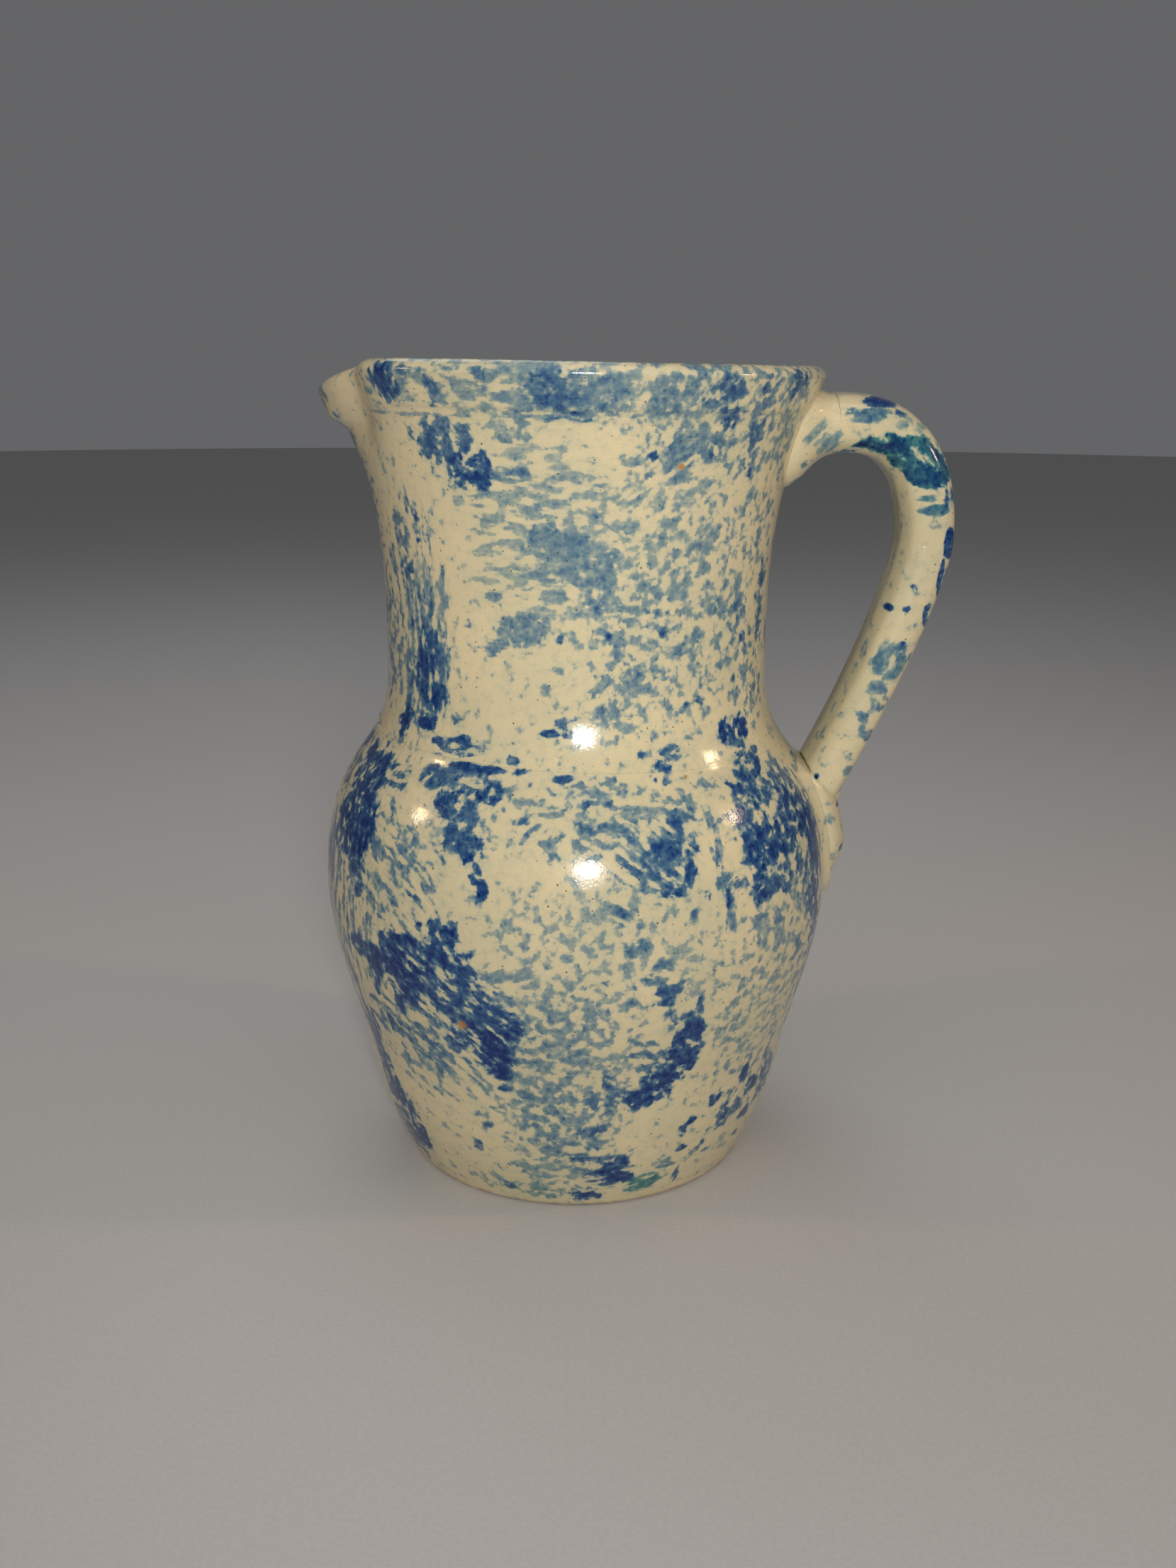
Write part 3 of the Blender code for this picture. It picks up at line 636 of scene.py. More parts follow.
NECK_DABS = dabs_of(
    (-33, 211.3, 7.6, 4.4, 0.56, 0.76), (-28, 203.6, 6.4, 4.6, 0.74, 0.7), (-35, 207, 4.4, 3.6, 0.66, 0.66),
    (-37, 210.2, 2.2, 1.6, 0.74), (-36, 204.6, 4, 1.1, 0.85, 0.66), (-40, 205, 1.1, 1, 0.8),
    (-26.5, 205, 3.4, 3.7, 0.92, 0.8), (-22, 204.6, 1.4, 3.6, 0.8, 0.74, UPRIGHT),
    (-23.5, 200.3, 3, 1.9, 0.85, 0.84), (-16.5, 202, 6, 1.9, 0.46, 0.8, LEVEL),
    (-8, 201.5, 6, 1.4, 0.34, 0.62, LEVEL), (-15, 213, 5, 3, 0.38, 0.66),
    (-12, 207, 8, 2.4, 0.26, 0.56, LEVEL), (-15, 195.5, 13, 4.4, 0.3, 0.58, LEVEL),
    (-5, 195.4, 5, 1.2, 0.42, 0.66, LEVEL), (4.5, 192, 1.6, 1, 0.55), (-22, 192, 8, 0.9, 0.26, 0.7, LEVEL),
    (27.5, 211, 5, 4, 0.42, 0.84, RISING), (24, 205.6, 4.6, 4.4, 0.48, 0.86, RISING),
    (33, 208, 3, 3, 0.58, 0.72), (18, 207, 1.4, 1.6, 0.78), (13, 206, 3, 1.6, 0.36, 0.62, RISING),
    (30, 199, 11, 6, 0.34, 0.48, LEVEL), (15, 197, 6, 3.4, 0.34, 0.58, RISING),
    (47, 212, 3.6, 3.6, 0.62, 0.74), (46, 206, 2.1, 3.2, 0.58), (48, 202, 1.1, 1, 0.7),
    (61, 210, 7, 8, 0.34, 0.62), (38.5, 193.5, 4, 2, 0.34, 0.68), (37.5, 186, 4.2, 4.2, 0.36, 0.8),
    (28, 186.4, 4.2, 1.6, 0.3, 0.7), (30, 180, 2.6, 2.2, 0.4, 0.66), (17, 184, 5, 4, 0.28, 0.46, LEVEL),
    (-4.5, 186, 8.6, 5, 0.42, 0.98), (2.5, 180.6, 6.4, 6.4, 0.42, 0.94),
    (-16, 183.4, 5.4, 1.5, 0.24, 0.74, LEVEL), (4, 184, 3.4, 3.2, 0.38, 0.76),
    (4.5, 177.8, 4.6, 4, 0.4, 0.9), (5, 172.4, 3, 3.2, 0.44, 0.8), (5.6, 169, 1.5, 1, 0.72),
    (-10, 178, 7.4, 2.2, 0.38, 0.74, LEVEL), (-20, 176, 8, 3, 0.24, 0.46, LEVEL),
    (-7, 172, 5, 1.8, 0.32, 0.66, LEVEL), (-23.5, 171.4, 3.6, 1.3, 0.42, 0.78, LEVEL),
    (-13, 163.6, 8.4, 4.2, 0.4, 0.94), (-22, 158.4, 4.2, 2.4, 0.42, 0.8, LEVEL),
    (-10, 168, 7, 1.6, 0.28, 0.64, LEVEL), (-12, 166, 0.6, 0.6, 0.85, 0.9),
    (-4.6, 161, 0.9, 0.9, 0.75, 0.9), (-31.5, 163.4, 1, 0.7, 0.6), (-56, 186, 4.4, 5, 0.46, 0.76),
    (-55, 176.4, 4, 3, 0.62, 0.78), (-63, 178, 3, 4, 0.5, 0.6), (-47, 190, 1.4, 1.2, 0.8),
    (-47.5, 184.6, 0.8, 0.7, 0.9, 0.9), (-41, 187, 3, 1.4, 0.24, 0.66, LEVEL),
    (-47, 176, 3.6, 4, 0.34, 0.78, UPRIGHT), (-47, 168, 3.6, 6.4, 0.56, 0.82, UPRIGHT),
    (-41, 170, 2.4, 4.6, 0.34, 0.66, UPRIGHT), (-54.5, 165, 4, 6, 0.42, 0.76, UPRIGHT),
    (-54, 162, 0.9, 0.9, 0.95, 0.95), (-46, 155, 4.6, 6.6, 0.84, 0.88, UPRIGHT),
    (-40.5, 154, 3, 5.4, 0.52, 0.84, UPRIGHT), (-50, 148, 4.2, 4.4, 0.86, 0.84, UPRIGHT),
    (-44.5, 143.4, 4.6, 4.6, 0.84, 0.8, UPRIGHT), (-58, 153, 2.4, 5, 0.56, 0.66, UPRIGHT),
    (-57, 147, 3, 3, 0.66, 0.7), (-57.5, 140, 2.6, 1.8, 0.74), (-56.5, 136, 3.6, 3.4, 0.9, 0.84),
    (-46.5, 137, 4, 2.6, 0.9, 0.84, LEVEL), (-38, 138.2, 5, 1.2, 0.66, 0.56),
    (-36, 132.4, 9.4, 2.2, 0.78, 0.62, LEVEL), (-57.5, 131.6, 1.6, 0.9, 0.8), (20, 158, 14, 13, 0.4, 0.56),
    (13, 168, 5.4, 1.8, 0.34, 0.74, LEVEL), (28, 157.4, 5.6, 1.5, 0.44, 0.78, RISING),
    (34, 160.6, 4, 2, 0.48, 0.68), (9, 143.4, 3, 4, 0.42, 0.74), (14.5, 148, 3.6, 4, 0.4, 0.68),
    (-7, 147, 2.6, 3.6, 0.3, 0.7), (34, 143.4, 3.2, 1, 0.72), (35, 146.6, 2.4, 1.8, 0.48, 0.66),
    (5, 146.4, 1.4, 1, 0.62), (17, 152, 0.8, 0.8, 0.85, 0.9), (24, 162.4, 0.9, 0.8, 0.78, 0.9),
    (8.5, 162, 0.9, 1.1, 0.8, 0.86), (43, 168, 3.4, 3, 0.42, 0.76), (53, 166, 3, 2.6, 0.62, 0.76),
    (55, 158.4, 1.9, 1.5, 0.88, 0.84), (48, 174, 4.4, 3.2, 0.42, 0.6), (67, 174, 4, 4, 0.72, 0.66),
    (66, 163, 4, 7, 0.62, 0.52), (50, 156, 12, 13, 0.46, 0.38), (56, 188, 11, 12, 0.4, 0.42),
    (62, 146, 8, 10, 0.48, 0.42), (-12, 140, 1.3, 1.1, 0.7), (-7, 137, 2.6, 1.1, 0.8, 0.82, LEVEL),
    (-3, 139.8, 3.2, 1.5, 0.54, 0.74), (-2, 136.8, 1.8, 1, 0.8), (12.5, 138.6, 3, 1.6, 0.34, 0.7, LEVEL),
    (46, 134, 3.4, 3.2, 0.92, 0.82), (53, 134.4, 3, 3.2, 0.9, 0.82, RISING),
    (49.5, 131, 3, 1.6, 0.72, 0.74), (26, 131.6, 3.6, 2, 0.62, 0.84, RISING), (23, 128.6, 2, 1.5, 0.7, 0.8),
    (17, 132, 1.1, 1.1, 0.66), (-16.5, 130, 2.2, 0.9, 0.6),
)

LOOSE_DABS = dabs_of(
    (24, 172, 26, 32, 0.36, 0.46), (-8, 190, 18, 16, 0.3, 0.5, LEVEL), (5, 88, 22, 14, 0.32, 0.36),
    (5, 118, 28, 9, 0.44, 0.32), (-2, 45, 15, 32, 0.34, 0.6), (50, 62, 18, 32, 0.36, 0.42),
    (-36, 48, 16, 14, 0.4, 0.4, FALLING), (-10, 223, 40, 7, 0.34, 0.56, LEVEL),
    (-2, 216.4, 66, 0.5, 0.34, 0.6, LEVEL), (30, 222, 34, 8, 0.38, 0.56), (40, 212, 26, 12, 0.42, 0.42),
    (-45, 100, 14, 16, 0.5, 0.36, FALLING), (-52, 160, 12, 30, 0.5, 0.38, UPRIGHT),
)

BELLY_DABS = dabs_of(
    (-27, 127.4, 7.4, 1, 0.8, 0.8, LEVEL), (-29, 124.6, 8, 2.6, 0.62, 0.7, LEVEL),
    (-38, 124, 5, 2.6, 0.66, 0.78, RISING), (-21.5, 122, 3, 3, 0.88, 0.86), (-30, 119, 4.6, 3.6, 0.76, 0.8),
    (-14, 127.6, 1.5, 0.9, 0.88, 0.84), (-12, 120, 2, 2, 0.3, 0.62), (-3, 126.2, 3, 1.1, 0.72, 0.8, LEVEL),
    (4.5, 122.4, 4, 1.9, 0.44, 0.88, LEVEL), (2.5, 121, 0.9, 0.8, 0.92, 0.92),
    (7.5, 121.2, 0.9, 0.8, 0.85, 0.9), (-6, 119, 3.4, 1.1, 0.38, 0.74, LEVEL),
    (15, 118.6, 6, 1.6, 0.34, 0.7, LEVEL), (24, 117.4, 4, 1.6, 0.6, 0.74, FALLING),
    (23, 124.8, 2, 0.8, 0.66), (20, 125.4, 0.6, 0.6, 0.95, 0.95), (50, 125, 5, 3, 0.8, 0.78, RISING),
    (56, 128, 2, 1, 0.7), (46, 121, 6, 3.4, 0.72, 0.76), (60, 120, 6, 4, 0.58, 0.66),
    (-62, 121, 8, 6, 0.86, 0.76), (-50, 122, 4, 3, 0.72, 0.62, LEVEL), (-70, 122, 4, 5, 0.9, 0.7),
    (-62, 108, 9, 11, 0.92, 0.84), (-55, 107, 3.6, 9, 0.95, 0.9, UPRIGHT), (-61.5, 101, 4, 3, 0.92, 0.86),
    (-55, 96.5, 3.6, 2.4, 0.88, 0.8, FALLING), (-53.5, 91.4, 2.2, 2.4, 0.84, 0.8), (-59, 93, 1.6, 1.1, 0.8),
    (-43, 105, 8.4, 8, 0.44, 0.52, FALLING), (-37, 106, 1.4, 4.4, 0.4, 0.74, UPRIGHT),
    (-47, 96, 1.7, 3, 0.4, 0.74, FALLING), (-42.5, 99, 1.4, 2.4, 0.44, 0.74, FALLING),
    (-26, 114.4, 4.2, 6.6, 0.66, 0.84), (-23, 109, 2.8, 3.6, 0.82, 0.86), (-33, 112.6, 3, 2, 0.24, 0.64),
    (-21, 103, 1.2, 2.6, 0.7, 0.78, FALLING), (-19.6, 99.6, 1.4, 2.4, 0.84, 0.84),
    (-12, 116.6, 1.4, 1.1, 0.74, 0.82), (-12, 108.4, 1.2, 1.6, 0.34, 0.66),
    (-8, 115.4, 2.2, 1.1, 0.36, 0.74, RISING), (2.6, 115.4, 2.4, 1.4, 0.5, 0.82, RISING),
    (7.6, 115.4, 3.2, 0.9, 0.48, 0.78, LEVEL), (12.6, 114.4, 2.4, 3, 0.56, 0.78, FALLING),
    (12, 110.6, 3, 1.4, 0.36, 0.66, FALLING), (17, 108, 8, 8.6, 0.6, 0.58, FALLING),
    (22.5, 114.4, 2.4, 3.4, 0.74, 0.8), (19.6, 109.4, 4, 2.6, 0.8, 0.84),
    (24.2, 104.4, 1.5, 4.4, 0.76, 0.82, UPRIGHT), (25.6, 109, 1.4, 1.8, 0.74, 0.74),
    (15.6, 105.4, 1.6, 4.4, 0.6, 0.9, FALLING, 38), (18.6, 101, 2.2, 2.4, 0.64, 0.82, FALLING),
    (20, 98.6, 2.4, 1.6, 0.78, 0.82), (24.6, 92.8, 0.8, 1.3, 0.62), (28, 96.8, 0.7, 1.4, 0.66),
    (31.4, 109, 1.3, 8, 0.52, 0.76, UPRIGHT), (34, 99.2, 3.2, 2.2, 0.58, 0.84, RISING),
    (32.6, 95.6, 1, 3, 0.8, 0.84, UPRIGHT), (34, 90, 1.5, 5, 0.46, 0.74, UPRIGHT),
    (41, 114, 4, 5, 0.66, 0.86), (44, 106, 5.6, 6.4, 0.8, 0.86), (51, 106.6, 4.4, 4.6, 0.76, 0.84),
    (43, 96, 4, 4.6, 0.78, 0.84), (50, 95.6, 5, 4.4, 0.62, 0.76), (50, 118, 5, 3, 0.72, 0.74),
    (57, 111, 4.6, 9, 0.74, 0.76), (62, 112, 5.6, 9, 0.86, 0.8), (60, 97, 5, 6, 0.66, 0.7),
    (68, 101, 5, 14, 0.86, 0.82, UPRIGHT), (65, 86, 4.4, 6.4, 0.82, 0.8), (68, 76, 4.6, 9, 0.84, 0.74),
    (70, 60, 4, 8, 0.7, 0.62), (41.5, 87, 2.6, 3, 0.42, 0.72), (48.6, 86, 2.6, 3, 0.42, 0.7),
    (57, 90, 4.6, 6, 0.46, 0.56), (49, 75, 13, 14, 0.34, 0.47), (48, 55, 13, 13, 0.3, 0.44, LEVEL),
    (58, 73.6, 2, 2, 0.7, 0.8), (38.6, 72, 0.6, 0.6, 0.9, 0.9), (2, 96, 5, 5, 0.3, 0.5, UPRIGHT),
    (9, 94, 2.4, 3, 0.54, 0.78, FALLING), (12.6, 92, 1.6, 1.4, 0.44, 0.74), (-5, 92.6, 5, 4, 0.28, 0.44),
    (12.4, 86, 2.6, 2.6, 0.58, 0.74), (22, 83, 4, 3.4, 0.26, 0.58), (18, 80.4, 2.4, 1.4, 0.5, 0.84),
    (16, 76.4, 3.2, 2.2, 0.52, 0.8, LEVEL), (20, 72.4, 3.6, 2.6, 0.6, 0.78), (18, 69, 3, 1.3, 0.68, 0.86),
    (11.6, 69.4, 1.2, 1.5, 0.56), (6, 76, 1.2, 1.6, 0.48, 0.8), (7, 68, 1.2, 1.2, 0.56, 0.8),
    (26, 76, 3, 6, 0.28, 0.56), (-10, 77, 3, 3.2, 0.34, 0.74, RISING),
    (-17, 77.4, 4, 2.6, 0.34, 0.72, RISING), (-15, 70, 3, 2.6, 0.48, 0.68, LEVEL),
)

HIP_DABS = dabs_of(
    (-30, 89, 1.7, 2.9, 0.82, 0.86), (-33.6, 87.4, 1, 0.9, 0.82, 0.8), (-26.4, 86, 2.2, 2.6, 0.8, 0.84),
    (-30, 84.6, 3, 1.6, 0.84, 0.86), (-25.6, 89.6, 1, 1, 0.74, 0.8), (-23, 82, 2, 0.9, 0.84, 0.84),
    (-44, 79.4, 2.4, 3.2, 0.88, 0.92), (-37.6, 79.4, 5.4, 4, 0.86, 0.92, FALLING),
    (-29.6, 78.6, 5.6, 3.8, 0.88, 0.9, FALLING), (-24, 77.4, 3.6, 2, 0.84, 0.8, FALLING),
    (-55, 75, 5, 3, 0.84, 0.84), (-48, 73, 4.4, 4.4, 0.94, 0.92), (-40, 73.4, 7, 3.8, 0.92, 0.94, FALLING),
    (-33, 74, 13, 8.6, 0.8, 0.62, FALLING), (-22, 58, 8.6, 9.4, 0.84, 0.64, FALLING),
    (-39, 67.4, 4.4, 4.4, 0.88, 0.88, FALLING), (-50.4, 66, 1.7, 5.6, 0.76, 0.8, UPRIGHT),
    (-46.6, 66.4, 1.4, 1.8, 0.5), (-42.4, 61.4, 2.2, 3.4, 0.82, 0.84, UPRIGHT),
    (-33, 70, 4.6, 4, 0.74, 0.78, FALLING), (-28, 66, 4.6, 4, 0.78, 0.82, FALLING),
    (-21.6, 70, 6, 2.2, 0.74, 0.78, FALLING), (-20, 65, 8, 3.6, 0.76, 0.84, FALLING),
    (-14, 61.4, 2.8, 3.6, 0.92, 0.92, FALLING), (-17.4, 57, 4.6, 4.4, 0.97, 0.94, FALLING),
    (-18, 50.4, 4.2, 4.8, 0.97, 0.94, FALLING), (-23.6, 53.4, 3.6, 2.4, 0.92, 0.9, FALLING),
    (-17.4, 46.2, 2.6, 1.8, 0.97, 0.9), (-17.2, 41.4, 1.5, 1, 0.86, 0.86),
    (-42, 55, 12, 9, 0.6, 0.54, FALLING), (-48.4, 53, 1.3, 3.6, 0.84, 0.82, UPRIGHT),
    (-34, 47, 5, 4, 0.5, 0.56, FALLING), (-46, 43, 1.4, 1.8, 0.5, 0.8, UPRIGHT),
    (-34, 43.6, 1.4, 1.4, 0.44, 0.8), (-27.6, 50, 3.4, 1.2, 0.5, 0.74, FALLING),
    (-66, 60, 5, 12, 0.6, 0.52, UPRIGHT), (-62, 46, 4.4, 8, 0.88, 0.84, UPRIGHT),
    (-60, 35, 4.4, 6, 0.84, 0.8), (-57.6, 26, 6, 5, 0.88, 0.84), (-52, 22.6, 3.6, 2.6, 0.84, 0.76),
    (-52, 14.4, 5.4, 4.6, 0.94, 0.92), (-60, 12, 7, 8, 0.88, 0.84), (-2, 56, 11, 15, 0.42, 0.62),
    (-3, 32, 11, 11, 0.5, 0.64), (-12, 39, 4, 3, 0.56, 0.6, FALLING),
    (4.4, 28.6, 4, 1.6, 0.86, 0.82, LEVEL), (-7, 25.6, 2.4, 3.6, 0.6, 0.66, UPRIGHT),
    (7, 22.8, 3, 0.9, 0.66, 0.76, LEVEL), (0.6, 19.4, 4, 1.5, 0.8, 0.8, LEVEL),
    (7, 18.8, 3.4, 1.2, 0.6, 0.8, LEVEL), (6, 37.6, 4, 3.6, 0.74, 0.66), (-24, 32, 1.6, 1.5, 0.4, 0.7),
    (-22.6, 28.2, 1.8, 0.9, 0.54, 0.78), (-27, 20, 1.4, 1.9, 0.46, 0.78, RISING),
    (-19.4, 34, 2.4, 0.8, 0.4, 0.74, LEVEL), (24, 62, 4.4, 2.4, 0.6, 0.84),
    (20.6, 64.6, 1.6, 1.6, 0.5, 0.78), (27.6, 66, 1.2, 3, 0.62, 0.78, UPRIGHT),
    (26, 57, 3.4, 6.4, 0.84, 0.86), (25, 50.6, 4.6, 5.4, 0.8, 0.9), (21.4, 45.6, 4.8, 5, 0.84, 0.9),
    (20.6, 40.4, 3.4, 3.2, 0.95, 0.92), (16, 38, 4.2, 2.8, 0.92, 0.92),
    (12.4, 40.4, 3, 1.5, 0.88, 0.84, FALLING, -18), (7.6, 44.6, 1.3, 4, 0.76, 0.84, FALLING, 20),
    (17.4, 50, 3, 5, 0.6, 0.62, FALLING), (15, 57, 3.4, 1, 0.48, 0.84, FALLING, -18),
    (14.6, 53.4, 3.4, 0.9, 0.5, 0.84, FALLING, 10), (15, 48, 3, 0.9, 0.5, 0.84, FALLING, -24),
    (9.4, 12, 5.6, 4.6, 0.86, 0.88, LEVEL), (11.6, 16.4, 2.6, 2.8, 0.78, 0.84),
    (15, 10, 2.4, 2.4, 0.9, 0.84), (20, 7.6, 5, 3.4, 0.5, 0.86, LEVEL, 0, 1), (3.4, 5, 4.4, 2.6, 0.8, 0.8),
    (1, 14.4, 5, 1.8, 0.46, 0.76, LEVEL), (-10, 14, 6, 5, 0.34, 0.54, LEVEL, 0, 0.3),
    (-20.4, 6.4, 1.8, 1.3, 0.6, 0.84), (-9, 6.6, 5, 4.4, 0.38, 0.72, ROUND, 0, 0.5),
    (-27, 7, 5, 3, 0.3, 0.56), (-18, 14, 4, 2, 0.42, 0.6), (31.6, 7, 0.9, 3, 0.58, 0.82, UPRIGHT),
    (28.6, 24.6, 1.9, 1.7, 0.76, 0.8), (31.8, 26.8, 1.4, 1.8, 0.8, 0.84), (38, 32, 2.1, 1.8, 0.82, 0.86),
    (40, 33, 0.6, 0.6, 0.95, 0.95), (45, 32, 2.6, 1.4, 0.64, 0.8, RISING),
    (48.6, 36.6, 2, 3.6, 0.84, 0.84, RISING), (54.6, 31, 3.2, 2.4, 0.88, 0.86),
    (43, 26, 2.4, 2.8, 0.74, 0.72), (48, 25.6, 3.2, 3.2, 0.58, 0.76), (44, 22, 3, 1.9, 0.66, 0.7),
    (55, 20.6, 3.4, 2.4, 0.72, 0.78), (53, 26, 3, 3, 0.5, 0.6), (38, 19, 1.4, 2.2, 0.74, 0.74),
    (30, 18, 2.2, 1, 0.7, 0.8), (25, 15, 3, 1, 0.36, 0.7), (27, 12.6, 3, 1, 0.48, 0.76, LEVEL),
    (36, 15, 1.9, 1.4, 0.42, 0.74), (40, 13.6, 1.4, 0.9, 0.58, 0.76),
    (48, 13, 4, 2.6, 0.26, 0.62, ROUND, 0, 0.6), (55, 13, 1.5, 1, 0.62, 0.74),
    (58.6, 38, 1.6, 1.6, 0.66, 0.8), (63, 29, 4.4, 7, 0.76, 0.74),
)

HANDLE_DABS = dabs_of(
    (79, 215.4, 7, 1.7, 0.46, 0.86, LEVEL, 0, 0.2), (75, 216.4, 2, 1.2, 0.66),
    (86.6, 215.4, 1.8, 1.2, 0.72), (82, 219, 4.4, 1.5, 0.82, 0.74, LEVEL),
    (90, 213.4, 5, 2.4, 0.26, 0.6, ROUND, 0, 0.4), (66, 209, 4.6, 4.6, 0.34, 0.62, RISING, 0, 0.2, NEAR),
    (63, 202.4, 2.4, 2.4, 0.4, 0.62, LEVEL, 0, 0.4, NEAR),
    (62, 198, 3.6, 1.1, 0.8, 0.86, LEVEL, 26, 0.8, NEAR),
    (68.6, 202, 4.4, 1.1, 0.86, 0.9, LEVEL, 32, 0.7, NEAR),
    (75.4, 206.6, 4.4, 1.2, 0.9, 0.9, LEVEL, 26, 0.8, NEAR),
    (84, 207.6, 6.4, 2.6, 0.86, 0.94, ROUND, -6, 1, NEAR),
    (90.6, 205.6, 5, 4, 0.72, 0.94, FALLING, 0, 1, NEAR),
    (96, 201.4, 6.4, 4.4, 0.74, 0.94, FALLING, 0, 0.7, NEAR),
    (92.6, 200.6, 3.4, 3.2, 0.8, 0.92, FALLING, 0, 0.9, NEAR),
    (97, 193.8, 4.2, 1.1, 0.5, 0.86, LEVEL, 6, 0.5, NEAR),
    (98, 190.2, 4, 1.4, 0.56, 0.84, LEVEL, 0, 0.5, NEAR),
    (102, 193, 1.6, 3.6, 0.66, 0.8, UPRIGHT, 0, 0.1, NEAR), (93.4, 169, 0.9, 0.9, 0.9, 0.92),
    (91.6, 163, 1.2, 0.9, 0.74, 0.86), (87.4, 163, 1, 0.9, 0.74, 0.86),
    (103, 181, 1.8, 4, 0.86, 0.8, UPRIGHT), (101.6, 170, 1.8, 5.4, 0.84, 0.76, UPRIGHT),
    (98.6, 161, 1.8, 3.4, 0.8, 0.7, UPRIGHT), (88.4, 148, 5, 5, 0.44, 0.8, RISING, 0, 0.2),
    (91, 150.6, 2.4, 3, 0.62, 0.76), (85.4, 138, 2.6, 4.6, 0.42, 0.8, ROUND, 24),
    (82, 128.6, 1.8, 4.6, 0.46, 0.78, ROUND, 24), (78, 116, 1.8, 1.5, 0.38, 0.78),
    (68.6, 115, 0.6, 0.6, 0.9, 0.92, ROUND, 0, 0.8), (77, 106.6, 2, 1, 0.6, 0.76, LEVEL, 30, 0.3),
    (77.4, 93, 1.2, 1.2, 0.88, 0.88), (96, 203, 9, 4, 0.7, 0.66, FALLING, 0, 0.5, FAR),
    (66, 206, 4, 5, 0.62, 0.62, ROUND, 0, 0.2, FAR), (98, 176, 4, 6, 0.5, 0.66, UPRIGHT, 0, 0, FAR),
    (76, 122, 4, 5, 0.66, 0.66, FALLING, 0, 0, FAR),
)


@dataclass
class BackDabs:
    """Seeded sponge prints for the far side of the body, in the manner of the near side.

    Angles are in degrees and lengths in millimetres. "heavy" and "light" hold the ranges of size,
    load and cover of the two kinds of print.
    """

    seed: int = 41
    count: int = 150
    first: float = 74.0
    last: float = 288.0
    bottom: float = 4.0
    top: float = 226.0
    golden: float = 0.618034
    golden_start: float = 0.2
    heavy_every: int = 3
    heavy: tuple[Pair, Pair, Pair] = ((2.4, 7.5), (0.62, 0.95), (0.72, 0.88))
    light: tuple[Pair, Pair, Pair] = ((1.6, 5.0), (0.28, 0.6), (0.56, 0.76))
    stretches: Pair = (0.6, 1.5)
    haze_spread: float = 2.6
    haze_load: float = 0.6
    haze_cover: float = 0.50

    def spread(self, index: int) -> float:
        """The share of the way round at which a print stands, spread evenly by the golden ratio."""
        return (index * self.golden + self.golden_start) % 1.0

    def dabs(self) -> list[Dab]:
        """Draw the prints, each heavy one with looser marks round it.

        Returns:
            The dabs.
        """
        luck = np.random.default_rng(self.seed)
        grains = list(Grain)
        made = []
        for index in range(self.count):
            is_heavy = index % self.heavy_every == 0
            sizes, loads, covers = self.heavy if is_heavy else self.light
            turn = self.first + (self.last - self.first) * self.spread(index)
            height = float(luck.uniform(self.bottom, self.top))
            size = float(luck.uniform(*sizes))
            stretch = float(luck.uniform(*self.stretches))
            load = float(luck.uniform(*loads))
            cover = float(luck.uniform(*covers))
            grain = grains[int(luck.integers(len(grains)))]
            made.append(Dab(turn, height, size * stretch, size / stretch, load, cover, grain))
            if is_heavy:
                spread = size * self.haze_spread
                place = (turn + size, height - size, spread, spread)
                made.append(Dab(*place, load * self.haze_load, self.haze_cover, grain))
        return made


